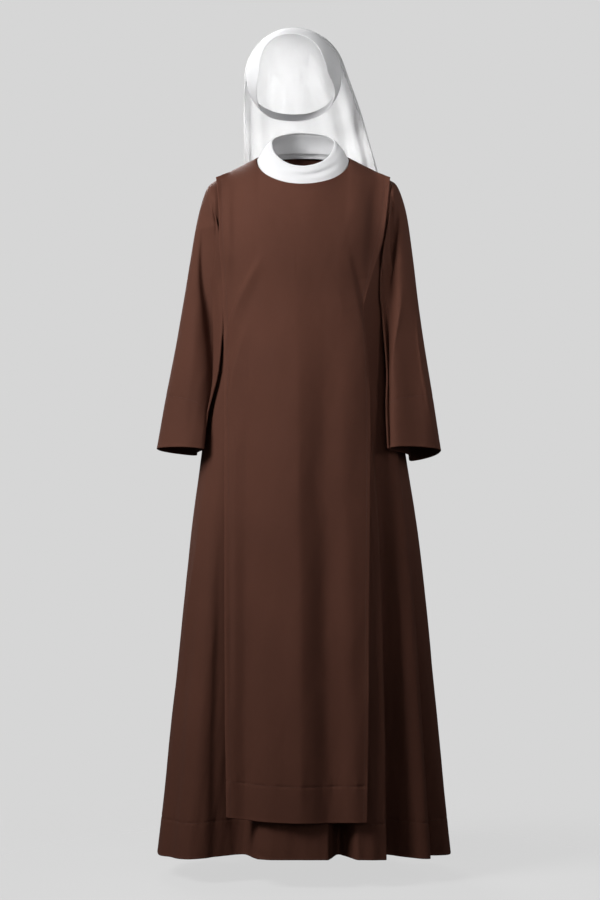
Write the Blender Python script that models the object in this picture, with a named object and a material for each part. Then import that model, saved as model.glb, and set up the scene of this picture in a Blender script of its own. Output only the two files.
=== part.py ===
"""Worn religious habit: a long tunic with flared sleeves, a scapular, a collar band, a coif and a veil.

Each cloth piece is a thin wall, lofted through sections that the sizes and tables below give. The
habit keeps the hollow form that it has when it is worn. Metres, +Z up, the front towards -Y and the
wearer's left towards +X. The origin is on the shoulder line, on the neck's axis, where the habit is
carried. Heights in the tables are above the ground.
"""

from collections import namedtuple
from math import pi, radians

import bpy
import numpy as np

SHOULDER_HEIGHT = 1.400  # of the origin above the ground
SEAM_GAP = 0.0003  # between two pieces that are sewn together
RIM_ORDER = (0.11, 0.23, 1.0)  # the direction that counts as up where rims are split

# Cloth thicknesses of the walls
TUNIC_CLOTH = 0.0020
SCAPULAR_CLOTH = 0.0018
COLLAR_CLOTH = 0.0030
COIF_CLOTH = 0.0018
VEIL_CLOTH = 0.0015

# Neckline, shoulder line and armholes
NECK_HALF_WIDTH = 0.093
NECK_Y = -0.005
NECK_HEIGHT = 1.409
FRONT_NECK_REACH = 0.093
FRONT_NECK_DROP = 0.058
BACK_NECK_REACH = 0.080
BACK_NECK_RISE = 0.020
SHOULDER_TIP = (0.168, 0.006, 1.372)
ARMHOLE_CUT = 0.019
UNDERARM_HEIGHT = 1.170
HEM_HEIGHT = 0.044
FRONT_HEM_RISE = 0.014

# Share of the way from the underarm to the shoulder, and how the chest and back curve over it
SHOULDER_ROUNDING = 2.2
CENTRE_SLOPE = 0.95
SHOULDER_SLOPE = 0.52
SQUARENESS = 2.35

Section = namedtuple("Section", "height right left front back")
TUNIC = (
    Section(0.040, 0.288, 0.292, 0.200, 0.240),
    Section(0.140, 0.276, 0.281, 0.194, 0.228),
    Section(0.257, 0.264, 0.270, 0.187, 0.214),
    Section(0.387, 0.250, 0.257, 0.180, 0.199),
    Section(0.540, 0.234, 0.242, 0.171, 0.182),
    Section(0.686, 0.219, 0.225, 0.163, 0.165),
    Section(0.824, 0.201, 0.203, 0.155, 0.148),
    Section(0.905, 0.191, 0.191, 0.150, 0.139),
    Section(1.000, 0.175, 0.176, 0.145, 0.127),
    Section(1.090, 0.170, 0.170, 0.137, 0.119),
    Section(1.170, 0.172, 0.172, 0.132, 0.117),
    Section(1.250, 0.172, 0.172, 0.131, 0.117),
)

# Valleys between the skirt's flutes. Angles run from the front towards the wearer's left, and a valley
# reaches further on one side than on the other, so that its flutes lean. Depth is at the hem.
Valley = namedtuple("Valley", "angle before after depth start")
TUNIC_VALLEYS = (
    Valley(-172, 10, 12, 0.050, 0.95),
    Valley(-146, 11, 9, 0.058, 0.90),
    Valley(-119, 9, 13, 0.040, 0.80),
    Valley(-66, 12, 13, 0.010, 0.62),
    Valley(-33, 15, 9, 0.034, 0.78),
    Valley(-16, 8, 8, 0.012, 0.34),
    Valley(13, 5, 6, 0.070, 0.46),
    Valley(39, 8, 17, 0.074, 1.04),
    Valley(66, 8, 19, 0.052, 0.92),
    Valley(108, 12, 9, 0.044, 0.80),
    Valley(136, 9, 12, 0.060, 0.92),
    Valley(160, 11, 9, 0.046, 0.98),
)
TUNIC_COLUMNS = 44  # in each half
SKIRT_ROWS = 10
YOKE_ROWS = 10

# Scapular: its edges and how far it stands off the tunic, at the middle and at each edge
Edge = namedtuple("Edge", "height right left middle_gap right_gap left_gap")
SCAPULAR_FRONT = (
    Edge(0.129, 0.146, 0.121, 0.012, 0.012, 0.014),
    Edge(0.300, 0.149, 0.124, 0.012, 0.010, 0.012),
    Edge(0.540, 0.151, 0.126, 0.011, 0.008, 0.011),
    Edge(0.808, 0.152, 0.129, 0.010, 0.007, 0.010),
    Edge(0.905, 0.152, 0.130, 0.009, 0.006, 0.010),
    Edge(1.000, 0.153, 0.127, 0.008, 0.006, 0.012),
    Edge(1.066, 0.154, 0.122, 0.007, 0.006, 0.012),
    Edge(1.120, 0.155, 0.121, 0.006, 0.006, 0.011),
    Edge(1.170, 0.157, 0.133, 0.006, 0.006, 0.008),
    Edge(1.219, 0.160, 0.147, 0.006, 0.013, 0.009),
    Edge(1.268, 0.163, 0.157, 0.006, 0.014, 0.012),
    Edge(1.320, 0.167, 0.166, 0.006, 0.013, 0.012),
    Edge(1.375, 0.171, 0.171, 0.006, 0.008, 0.008),
)
SCAPULAR_BACK = (
    Edge(0.129, 0.146, 0.146, 0.014, 0.014, 0.014),
    Edge(0.540, 0.150, 0.150, 0.012, 0.012, 0.012),
    Edge(0.905, 0.153, 0.153, 0.010, 0.010, 0.010),
    Edge(1.170, 0.157, 0.157, 0.007, 0.010, 0.010),
    Edge(1.268, 0.163, 0.163, 0.006, 0.013, 0.013),
    Edge(1.375, 0.171, 0.171, 0.006, 0.008, 0.008),
)
SCAPULAR_BEND_X = 0.146  # from here out it runs on flat instead of following the tunic's side
SCAPULAR_SIDE_SLOPE = 0.5
SCAPULAR_FLUTES = 2.4  # waves across the width
SCAPULAR_FLUTE_DEPTH = 0.0045
SCAPULAR_HEM = 0.129
SCAPULAR_HEM_RISE = 0.008  # at the right edge
SCAPULAR_SIDE_COLUMNS = 4
SCAPULAR_NECK_COLUMNS = 10
SCAPULAR_ROWS = 12
SCAPULAR_YOKE_ROWS = 9

# Sleeves: each section runs through an outer, an inner, a front and a back point. Flare widens its
# front and wrap bends it round the tunic's side.
Ring = namedtuple("Ring", "outer outer_height inner inner_height front back sweep flare wrap tilt")
LEFT_SLEEVE = (
    Ring(0.168, 1.372, 0.172, 1.170, -0.064, 0.070, 0.000, 0.00, 0.000, 0.000),
    Ring(0.1860, 1.357, 0.187, 1.157, -0.069, 0.073, 0.012, 0.00, 0.006, 0.000),
    Ring(0.2010, 1.314, 0.188, 1.130, -0.076, 0.070, 0.028, 0.00, 0.010, 0.000),
    Ring(0.2105, 1.260, 0.187, 1.095, -0.084, 0.066, 0.036, 0.02, 0.012, 0.000),
    Ring(0.2190, 1.195, 0.186, 1.058, -0.090, 0.062, 0.040, 0.03, 0.012, 0.000),
    Ring(0.2280, 1.115, 0.187, 1.010, -0.097, 0.058, 0.041, 0.04, 0.012, 0.002),
    Ring(0.2395, 1.032, 0.193, 0.960, -0.105, 0.055, 0.043, 0.05, 0.012, 0.006),
    Ring(0.2545, 0.938, 0.202, 0.895, -0.115, 0.052, 0.049, 0.06, 0.012, 0.010),
    Ring(0.2705, 0.834, 0.210, 0.824, -0.125, 0.050, 0.056, 0.08, 0.012, 0.013),
)
RIGHT_SLEEVE = (
    Ring(0.168, 1.372, 0.172, 1.170, -0.064, 0.070, 0.000, 0.00, 0.000, 0.000),
    Ring(0.1885, 1.354, 0.187, 1.157, -0.068, 0.074, 0.012, 0.00, 0.006, 0.000),
    Ring(0.2035, 1.310, 0.188, 1.130, -0.074, 0.073, 0.028, 0.00, 0.010, 0.000),
    Ring(0.2150, 1.255, 0.187, 1.095, -0.080, 0.071, 0.036, 0.02, 0.012, 0.000),
    Ring(0.2260, 1.190, 0.186, 1.058, -0.085, 0.068, 0.037, 0.03, 0.012, 0.000),
    Ring(0.2385, 1.112, 0.187, 1.010, -0.090, 0.065, 0.034, 0.04, 0.012, 0.001),
    Ring(0.2520, 1.032, 0.193, 0.960, -0.096, 0.062, 0.035, 0.05, 0.012, 0.003),
    Ring(0.2695, 0.940, 0.202, 0.897, -0.102, 0.059, 0.026, 0.06, 0.012, 0.005),
    Ring(0.2875, 0.838, 0.209, 0.830, -0.108, 0.056, 0.027, 0.08, 0.012, 0.007),
)
SLEEVE_ROWS = 13
SLEEVE_SQUARENESS = 2.6
SLEEVE_CLEARANCE = 0.006  # of a sleeve's outside from the tunic that it hangs against
ARMHOLE_FADE = 0.16  # share of the sleeve over which it turns from the armhole's shape to its own

# Fold valleys of a sleeve: where they start and end along it, their angle there, width and depth
Crease = namedtuple("Crease", "start start_angle end end_angle width depth")
LEFT_CREASES = (
    Crease(0.10, 128, 0.42, 118, 17, 0.010),
    Crease(0.40, 60, 0.66, 48, 20, 0.009),
    Crease(0.30, -95, 0.75, -70, 26, 0.008),
)
RIGHT_CREASES = (
    Crease(0.10, 138, 0.62, 62, 20, 0.011),
    Crease(0.30, -95, 0.75, -75, 26, 0.008),
)

# Collar band: it leans in from the neckline to its top edge
COLLAR_TOP_HALF_WIDTH = 0.0625
COLLAR_TOP_SIDE_HEIGHT = 1.444
COLLAR_TOP_FRONT = (-0.070, 1.390)
COLLAR_TOP_BACK = (0.052, 1.470)
COLLAR_TUCK = 0.009
COLLAR_BULGE = 0.0035
COLLAR_COLUMNS = 40
COLLAR_PROFILE_ROWS = 5

# Head covering: the coif lies on a general head form and the veil a little outside it. The coif is a
# strip from the face opening back under the veil; angles run round from the crown to the wearer's left.
HEAD_CENTRE = (-0.018, 0.003, 1.575)
HEAD_SIZE = (0.0945, 0.1060, 0.0940)  # half its width, depth and height
VEIL_OVER_HEAD = 0.0040
Strip = namedtuple("Strip", "angle front back")
COIF = (
    Strip(0, -0.063, 0.020),
    Strip(37, -0.070, 0.024),
    Strip(75, -0.076, 0.030),
    Strip(100, -0.064, 0.036),
    Strip(118, -0.022, 0.044),
    Strip(138, 0.022, 0.062),
    Strip(160, 0.046, 0.074),
    Strip(180, 0.052, 0.078),
    Strip(200, 0.044, 0.074),
    Strip(220, 0.008, 0.062),
    Strip(238, -0.040, 0.044),
    Strip(260, -0.067, 0.036),
    Strip(290, -0.069, 0.030),
    Strip(322, -0.060, 0.024),
    Strip(360, -0.063, 0.020),
)
COIF_COLUMNS = 44
COIF_ROWS = 5

# Veil: each section is an arch or a U from its right edge over the middle to its left edge
Arch = namedtuple("Arch", "step right right_y right_height middle middle_y middle_height left left_y left_height square fold")
VEIL = (
    Arch(0.00, -0.1155, 0.000, 1.570, -0.018, -0.014, 1.6730, 0.0790, 0.002, 1.590, 2.0, 0.000),
    Arch(0.10, -0.1165, 0.008, 1.545, -0.018, 0.038, 1.668, 0.0880, 0.010, 1.566, 2.0, 0.000),
    Arch(0.20, -0.1160, 0.020, 1.510, -0.017, 0.084, 1.637, 0.1020, 0.022, 1.532, 2.0, 0.001),
    Arch(0.32, -0.1145, 0.034, 1.470, -0.014, 0.112, 1.584, 0.1190, 0.038, 1.487, 2.1, 0.003),
    Arch(0.44, -0.1125, 0.052, 1.430, -0.006, 0.121, 1.510, 0.1350, 0.056, 1.437, 2.2, 0.006),
    Arch(0.56, -0.1130, 0.078, 1.385, 0.002, 0.126, 1.435, 0.1510, 0.080, 1.385, 2.3, 0.009),
    Arch(0.68, -0.1240, 0.098, 1.330, 0.006, 0.131, 1.362, 0.1640, 0.100, 1.330, 2.3, 0.012),
    Arch(0.80, -0.1320, 0.112, 1.265, 0.008, 0.138, 1.285, 0.1720, 0.113, 1.265, 2.3, 0.014),
    Arch(1.00, -0.1400, 0.118, 1.150, 0.010, 0.146, 1.150, 0.1780, 0.118, 1.150, 2.3, 0.017),
)
VEIL_FLUTES = 7
VEIL_COLUMNS = 42
VEIL_ROWS = 14

Look = namedtuple("Look", "colour roughness sheen")
BROWN = Look((0.052, 0.023, 0.015), 0.78, 0.25)
WHITE = Look((0.80, 0.80, 0.81), 0.85, 0.15)


def smooth(knots, values, at):
    """The smooth curve through the knots, a cubic between each two with its neighbours' slopes."""
    knots, values = np.asarray(knots, float), np.asarray(values, float)
    at = np.clip(np.asarray(at, float), knots[0], knots[-1])
    slope = np.gradient(values, knots)
    low = np.clip(np.searchsorted(knots, at, side="right") - 1, 0, len(knots) - 2)
    span = knots[low + 1] - knots[low]
    t = (at - knots[low]) / span
    return (
        values[low] * (2 * t**3 - 3 * t**2 + 1)
        + slope[low] * span * (t**3 - 2 * t**2 + t)
        + values[low + 1] * (3 * t**2 - 2 * t**3)
        + slope[low + 1] * span * (t**3 - t**2)
    )


def read(table, name, at):
    """A named column of a table, smoothly, against the table's first column."""
    knots = [row[0] for row in table]
    return smooth(knots, [getattr(row, name) for row in table], at)


def power(value, exponent):
    """The value's size to the exponent, with its own sign."""
    return np.sign(value) * np.abs(value) ** exponent


def trough(offset, reach):
    """1 at the middle of a fold, 0 from its reach on, with a round ridge and a round bottom."""
    return np.cos(pi / 2 * np.clip(offset / reach, -1, 1)) ** 2


def unit(vectors):
    return vectors / np.maximum(np.linalg.norm(vectors, axis=-1, keepdims=True), 1e-12)


def placed(x, y, height):
    """Points in the part's frame, from heights above the ground."""
    return np.stack(np.broadcast_arrays(x, y, height - SHOULDER_HEIGHT), axis=-1)


def normals(grid, towards, closed=False):
    """Unit normals of a grid of points, turned so that on the whole they face the point given."""
    if closed:
        around = np.roll(grid, -1, axis=1) - np.roll(grid, 1, axis=1)
    else:
        around = np.gradient(grid, axis=1)
    facing = unit(np.cross(np.gradient(grid, axis=0), around))
    side = np.sum(facing * unit(np.asarray(towards, float) - grid))
    return facing if side > 0 else -facing


def wall(name, outer, inward, cloth, look, closed=False):
    """A cloth wall: the outer grid, the same grid one cloth inward, and the rim that joins the two.

    The sections are unlike each other, so the grids' faces are made here, cell by cell. A rim's quads
    are split from their lower outer corner, so that two rims that meet at a seam twist alike.
    """
    rows, columns = outer.shape[:2]
    points = np.concatenate([outer.reshape(-1, 3), (outer + inward * cloth).reshape(-1, 3)])
    inside = rows * columns
    turns = columns if closed else columns - 1
    faces = []
    for row in range(rows - 1):
        for column in range(turns):
            a, b = row * columns + column, row * columns + (column + 1) % columns
            c, d = b + columns, a + columns
            faces.append((a, b, c, d))
            faces.append((inside + d, inside + c, inside + b, inside + a))
    top = [(c, (c + 1) % columns) for c in range(turns)]
    last = (rows - 1) * columns
    rims = [(a, b) for a, b in top] + [(last + b, last + a) for a, b in top]
    if not closed:
        rims += [((r + 1) * columns, r * columns) for r in range(rows - 1)]
        rims += [((r + 1) * columns - 1, (r + 2) * columns - 1) for r in range(rows - 1)]
    heights = points @ RIM_ORDER
    for a, b in rims:
        if heights[a] < heights[b]:
            faces += [(a, inside + a, inside + b), (a, inside + b, b)]
        else:
            faces += [(b, a, inside + a), (b, inside + a, inside + b)]
    mesh = bpy.data.meshes.new(name)
    mesh.from_pydata(points.tolist(), [], faces)
    first = mesh.polygons[0]
    if first.normal.dot(inward.reshape(-1, 3)[0].tolist()) > 0:
        mesh.flip_normals()
    mesh.shade_smooth()
    mesh.set_sharp_from_angle(angle=radians(50))
    mesh.materials.append(cloth_material(name, look))
    piece = bpy.data.objects.new(name, mesh)
    HABIT.objects.link(piece)
    return piece


def cloth_material(name, look):
    material = bpy.data.materials.new(f"{name}_cloth")
    material.use_nodes = True
    shader = material.node_tree.nodes["Principled BSDF"]
    shader.inputs["Base Color"].default_value = (*look.colour, 1)
    shader.inputs["Roughness"].default_value = look.roughness
    shader.inputs["Metallic"].default_value = 0
    shader.inputs["Sheen Weight"].default_value = look.sheen
    return material


def neck_arc(x):
    """1 at the middle of the neckline and 0 from its corners outwards, as an ellipse."""
    return np.sqrt(np.clip(1 - (x / NECK_HALF_WIDTH) ** 2, 0, 1))


def top_line(x, reach, rise):
    """(y, height) of a panel's upper edge: the neckline's ellipse, then the straight shoulder seam."""
    tip_x, tip_y, tip_height = SHOULDER_TIP
    along = np.clip((np.abs(x) - NECK_HALF_WIDTH) / (tip_x - NECK_HALF_WIDTH), 0, 1.06)
    y = NECK_Y + (tip_y - NECK_Y) * along + reach * neck_arc(x)
    return y, NECK_HEIGHT + (tip_height - NECK_HEIGHT) * along + rise * neck_arc(x)


def front_top(x):
    return top_line(x, -FRONT_NECK_REACH, -FRONT_NECK_DROP)


def back_top(x):
    return top_line(x, BACK_NECK_REACH, BACK_NECK_RISE)


def half_widths(x, height):
    return np.where(x > 0, read(TUNIC, "left", height), read(TUNIC, "right", height))


def panel_y(x, height, side, top):
    """y of the tunic's front or back form at x: below the underarm a superellipse, above it a curve
    that rounds over to the upper edge. Side is "front" or "back"."""
    depth = read(TUNIC, side, np.minimum(height, UNDERARM_HEIGHT))
    depth = -depth if side == "front" else depth
    width = half_widths(x, np.minimum(height, UNDERARM_HEIGHT))
    share = np.minimum(np.abs(x) / width, 1.0)
    low = depth * (1 - share**SQUARENESS) ** (1 / SQUARENESS)
    edge_y, edge_height = top(x)
    up = np.clip((height - UNDERARM_HEIGHT) / (edge_height - UNDERARM_HEIGHT), 0, 1)
    slope = SHOULDER_SLOPE + (CENTRE_SLOPE - SHOULDER_SLOPE) * neck_arc(x)
    fall = (1 - up**SHOULDER_ROUNDING) ** slope
    return np.where(up > 0, edge_y + (low - edge_y) * fall, low)


def valley_depth(angle, height):
    """How far the skirt lies inside its outline, from all its valleys together."""
    depth = np.zeros(np.broadcast(angle, height).shape)
    for valley in TUNIC_VALLEYS:
        offset = (np.degrees(angle) - valley.angle + 180) % 360 - 180
        reach = np.where(offset < 0, valley.before, valley.after)
        grown = np.clip((valley.start - height) / (valley.start - HEM_HEIGHT), 0, 1) ** 1.25
        depth = np.maximum(depth, valley.depth * grown * trough(offset, reach))
    return depth


def skirt(angle, height):
    """Points of the tunic below the underarm: a superellipse ring with the valleys pressed in."""
    sine, cosine = np.sin(angle), np.cos(angle)
    width = half_widths(sine, height)
    depth = np.where(cosine > 0, read(TUNIC, "front", height), read(TUNIC, "back", height))
    x = width * power(sine, 2 / SQUARENESS)
    y = -depth * power(cosine, 2 / SQUARENESS)
    out_x = power(x / width, SQUARENESS - 1) / width
    out_y = power(y / depth, SQUARENESS - 1) / depth
    length = np.hypot(out_x, out_y)
    pressed = valley_depth(angle, height)
    return placed(x - pressed * out_x / length, y - pressed * out_y / length, height)


def even_angles(low, high, count):
    """Angles whose points lie evenly spaced along the hem between two angles in degrees."""
    fine = np.radians(np.linspace(low, high, 1500))
    hem = skirt(fine, np.full(fine.shape, HEM_HEIGHT))
    along = np.concatenate([[0], np.cumsum(np.linalg.norm(np.diff(hem, axis=0), axis=1))])
    trim = SEAM_GAP / 2
    return np.interp(np.linspace(trim, along[-1] - trim, count + 1), along, fine)


def armhole_x(up):
    """Half the panel's width at a share of the way up from the underarm to the shoulder tip."""
    underarm = read(TUNIC, "left", UNDERARM_HEIGHT)
    straight = underarm + (SHOULDER_TIP[0] - underarm) * up
    return straight - ARMHOLE_CUT * np.sin(pi * np.clip(up, 0, 1)) ** 0.6


def yoke_shares(rows):
    """Shares of the way up from the underarm to the shoulder line, closer together at both ends."""
    return (1 - np.cos(pi * np.arange(1, rows + 1) / rows)) / 2


def gathered(across):
    """Shares of the upper edge's width, with one column on each neck corner and the neckline's columns
    closer together towards it."""
    corner = NECK_HALF_WIDTH / SHOULDER_TIP[0]
    column = across[np.argmin(np.abs(across - corner))]
    neck = corner * np.sin(pi / 2 * np.clip(across / column, -1, 1))
    outside = corner + (np.abs(across) - column) * (1 - corner) / (1 - column)
    return np.where(np.abs(across) <= column, neck, np.sign(across) * outside)


def tunic_panel(side):
    """The grid of one tunic half, from the hem up to the shoulders, and how many rows are its skirt."""
    front = side == "front"
    top = front_top if front else back_top
    angles = even_angles(-90, 90, TUNIC_COLUMNS) if front else even_angles(90, 270, TUNIC_COLUMNS)
    rise = FRONT_HEM_RISE * np.clip(np.cos(angles), 0, 1) ** 2
    rows = []
    for up in np.linspace(0, 1, SKIRT_ROWS + 1):
        height = HEM_HEIGHT + rise + (UNDERARM_HEIGHT - HEM_HEIGHT - rise) * up
        rows.append(skirt(angles, height))
    across = power(np.sin(angles), 2 / SQUARENESS)
    for up in yoke_shares(YOKE_ROWS):
        x = armhole_x(up) * (across + (gathered(across) - across) * up)
        height = UNDERARM_HEIGHT + (top(x)[1] - UNDERARM_HEIGHT) * up
        rows.append(placed(x, panel_y(x, height, side, top), height))
    return np.array(rows)


def sewn_sides(front_in, back_in, rows):
    """Gives the two halves one wall direction along their side seams, so that the seam stays even."""
    for front_column, back_column in ((0, -1), (-1, 0)):
        shared = unit(front_in[:rows, front_column] + back_in[:rows, back_column])
        front_in[:rows, front_column] = shared
        back_in[:rows, back_column] = shared


def shoulder_seam(grid, inward, gap):
    """Turns the wall straight down along the shoulder seams and parts the halves by the seam gap."""
    seam = np.abs(grid[-1, :, 0]) > NECK_HALF_WIDTH - 1e-6
    inward[-1, seam] = (0, 0, -1)
    grid[-1, seam, 1] += gap / 2 * np.sign(grid[0, len(seam) // 2, 1])


def build_tunic(look):
    """The tunic's two halves and its sleeves. Where two pieces meet, they share the direction in which
    their walls thicken, so that the gap at the seam is even."""
    front, back = tunic_panel("front"), tunic_panel("back")
    middle = (0, 0, -0.6)
    front_in, back_in = normals(front, middle), normals(back, middle)
    sewn_sides(front_in, back_in, SKIRT_ROWS)
    for grid, inward in ((front, front_in), (back, back_in)):
        shoulder_seam(grid, inward, SEAM_GAP)
    sides = (
        ("sleeve_left", LEFT_SLEEVE, LEFT_CREASES, 1, -1, 0),
        ("sleeve_right", RIGHT_SLEEVE, RIGHT_CREASES, -1, 0, -1),
    )
    for name, table, creases, sign, ahead, behind in sides:
        armhole = armhole_ring(front[SKIRT_ROWS:, ahead], back[SKIRT_ROWS:, behind])
        armhole_in = armhole_ring(front_in[SKIRT_ROWS:, ahead], back_in[SKIRT_ROWS:, behind])
        sleeve = sleeve_grid(table, creases, armhole, np.array((sign, 1, 1)))
        sleeve_in = normals(sleeve, sleeve.mean(axis=1, keepdims=True), closed=True)
        shared = unit(unit(armhole_in) + sleeve_in[0])
        sleeve_in[0] = shared
        along_edge = np.roll(sleeve[0], -1, axis=0) - np.roll(sleeve[0], 1, axis=0)
        away = unit(np.cross(along_edge, sleeve_in[0]))
        sleeve[0] += SEAM_GAP * away * np.sign(np.sum(away * (sleeve[1] - sleeve[0])))
        front_in[SKIRT_ROWS:, ahead] = shared[: YOKE_ROWS + 1]
        back_in[SKIRT_ROWS:, behind] = np.roll(shared[::-1], 1, axis=0)[: YOKE_ROWS + 1]
        wall(name, sleeve, sleeve_in, TUNIC_CLOTH, look, closed=True)
    wall("tunic_front", front, front_in, TUNIC_CLOTH, look)
    wall("tunic_back", back, back_in, TUNIC_CLOTH, look)


def armhole_ring(front_edge, back_edge):
    """The armhole's closed outline, from the underarm up the front and down the back."""
    ring = np.concatenate([front_edge, back_edge[-2:0:-1]])
    ring[0] = (front_edge[0] + back_edge[0]) / 2
    ring[len(front_edge) - 1] = (front_edge[-1] + back_edge[-1]) / 2
    return ring


def armhole_angles(ring):
    """The sleeve's angle at each of the armhole's points, from how far along each side they lie."""
    along = np.cumsum(np.linalg.norm(ring - np.roll(ring, 1, axis=0), axis=1))
    along -= along[0]
    total = along[-1] + np.linalg.norm(ring[0] - ring[-1])
    tip = along[len(ring) // 2]
    return np.interp(along, (0, tip, total), (0, pi, 2 * pi))


def sleeve_rings(table, creases, angles, along):
    """Generic sleeve sections: a superellipse through four guide points, flared, wrapped and creased.
    Angle 0 is the inner side, 90 degrees the front and 180 degrees the outer side."""
    step = np.linspace(0, 1, len(table))
    guide = {name: smooth(step, [getattr(r, name) for r in table], along) for name in Ring._fields}
    inner, front = power(np.cos(angles), 2 / SLEEVE_SQUARENESS), power(np.sin(angles), 2 / SLEEVE_SQUARENESS)
    degrees = (np.degrees(angles) + 180) % 360 - 180
    squeeze = np.zeros(np.broadcast(angles, along).shape)
    for crease in creases:
        share = np.clip((along - crease.start) / (crease.end - crease.start), 0, 1)
        centre = crease.start_angle + (crease.end_angle - crease.start_angle) * share
        offset = (degrees - centre + 180) % 360 - 180
        strength = trough(along - (crease.start + crease.end) / 2, 0.75 * (crease.end - crease.start))
        squeeze = np.maximum(squeeze, crease.depth * strength * trough(offset, crease.width))
    half_width = (guide["inner"] - guide["outer"]) / 2
    middle_y = (guide["front"] + guide["back"]) / 2
    half_depth = (guide["back"] - guide["front"]) / 2
    radius = np.hypot(half_width * inner, half_depth * front)
    shrink = 1 - squeeze / np.maximum(radius, 0.01)
    x = (guide["inner"] + guide["outer"]) / 2 + shrink * half_width * inner * (1 + guide["flare"] * front)
    x = x - guide["sweep"] * np.maximum(front, 0) ** 2 - guide["wrap"] * front**2
    y = middle_y - shrink * half_depth * front
    middle = (guide["outer_height"] + guide["inner_height"]) / 2
    height = middle + (guide["inner_height"] - guide["outer_height"]) / 2 * inner + guide["tilt"] * front
    return placed(x, y, height)


def beside_tunic(points):
    """Moves points out onto the tunic's outline with the sleeve's clearance, where they'd lie inside it.
    Above the underarm the clearance runs out into the armhole."""
    x, y, height = points[..., 0], points[..., 1], points[..., 2] + SHOULDER_HEIGHT
    reach = np.clip((UNDERARM_HEIGHT - height) / 0.06, 0, 1)
    width = half_widths(x, height) + SLEEVE_CLEARANCE
    depth = np.where(y < 0, read(TUNIC, "front", height), read(TUNIC, "back", height)) + SLEEVE_CLEARANCE
    share = (np.abs(x / width) ** SQUARENESS + np.abs(y / depth) ** SQUARENESS) ** (1 / SQUARENESS)
    out = 1 + reach * (1 / np.clip(share, 0.3, 1) - 1)
    return np.stack([x * out, y * out, points[..., 2]], axis=-1)


def sleeve_grid(table, creases, armhole, flip):
    """A sleeve's grid. It starts on the armhole, and the difference between the armhole's outline and
    the sleeve's own section fades out along its head."""
    angles = armhole_angles(armhole)
    along = (np.arange(SLEEVE_ROWS + 1) / SLEEVE_ROWS)[:, None] ** 1.25
    grid = sleeve_rings(table, creases, angles[None, :], along)
    fade = np.clip(1 - along / ARMHOLE_FADE, 0, 1)[:, :, None] ** 2
    return beside_tunic((grid + fade * (armhole * flip - grid[0])) * flip)


def scapular_x(table, share, height):
    right, left = read(table, "right", height), read(table, "left", height)
    return np.where(share < 0, right, left) * share


def flute_wave(share, height):
    """Gentle waves across the scapular that grow from the chest to the hem."""
    grown = np.clip((UNDERARM_HEIGHT - height) / UNDERARM_HEIGHT, 0, 1) ** 0.8
    return SCAPULAR_FLUTE_DEPTH * grown * (1 - np.cos(2 * pi * SCAPULAR_FLUTES * (share + 1) / 2)) / 2


def scapular_panel(side, table):
    """The grid of one scapular half: the tunic's points below it, moved out by the table's gaps."""
    front = side == "front"
    top = front_top if front else back_top
    out = -1 if front else 1
    corner = NECK_HALF_WIDTH / SCAPULAR_FRONT[-1].left
    neck = corner * np.sin(np.linspace(-pi / 2, pi / 2, SCAPULAR_NECK_COLUMNS + 1))
    side_shares = np.linspace(1, corner, SCAPULAR_SIDE_COLUMNS, endpoint=False)
    share = np.concatenate([-side_shares, neck, side_shares[::-1]])
    hem = SCAPULAR_HEM + SCAPULAR_HEM_RISE * np.clip(-share, 0, 1) ** 2
    rows = []
    for step in np.linspace(0, 1, SCAPULAR_ROWS + 1):
        level = hem + (UNDERARM_HEIGHT - hem) * step
        rows.append((scapular_x(table, share, level), level, 0))
    for up in yoke_shares(SCAPULAR_YOKE_ROWS):
        nominal = UNDERARM_HEIGHT + (table[-1].height - UNDERARM_HEIGHT) * up
        x = scapular_x(table, share, nominal)
        rows.append((x, UNDERARM_HEIGHT + (top(x)[1] - UNDERARM_HEIGHT) * up, up))
    grid = []
    for x, height, up in rows:
        edge_gap = np.where(share < 0, read(table, "right_gap", height), read(table, "left_gap", height))
        gap = read(table, "middle_gap", height)
        gap = gap + (edge_gap - gap) * share**2 + flute_wave(share, height)
        y = panel_y(np.clip(x, -SCAPULAR_BEND_X, SCAPULAR_BEND_X), height, side, top)
        y = y - out * SCAPULAR_SIDE_SLOPE * np.maximum(np.abs(x) - SCAPULAR_BEND_X, 0) * (1 - up)
        grid.append(np.stack([placed(x, y, height), out * gap[:, None] * [0, 1, 0]]))
    base, lift = np.array([g[0] for g in grid]), np.array([g[1] for g in grid])
    over = np.clip((base[:, :, 2:] + SHOULDER_HEIGHT - UNDERARM_HEIGHT) / 0.12, 0, 1)
    outward = -normals(base, (0, 0, -0.6))
    distance = np.linalg.norm(lift, axis=-1, keepdims=True)
    return base + lift * (1 - over) + outward * distance * over


def build_scapular(look):
    for side, table in (("front", SCAPULAR_FRONT), ("back", SCAPULAR_BACK)):
        grid = scapular_panel(side, table)
        inward = normals(grid, (0, 0, -0.6))
        shoulder_seam(grid, inward, SEAM_GAP)
        wall(f"scapular_{side}", grid, inward, SCAPULAR_CLOTH, look)


def ellipse_ring(angles, half_width, side_height, front, back):
    """A tilted ring through a front and a back (y, height) and two sides. Angle 0 is the front."""
    forward, sideways = np.cos(angles), np.sin(angles)
    middle = NECK_Y
    y = middle + np.where(forward > 0, front[0] - middle, middle - back[0]) * forward
    height = side_height + np.where(forward > 0, front[1] - side_height, side_height - back[1]) * forward
    return placed(half_width * sideways, y, height)


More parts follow.
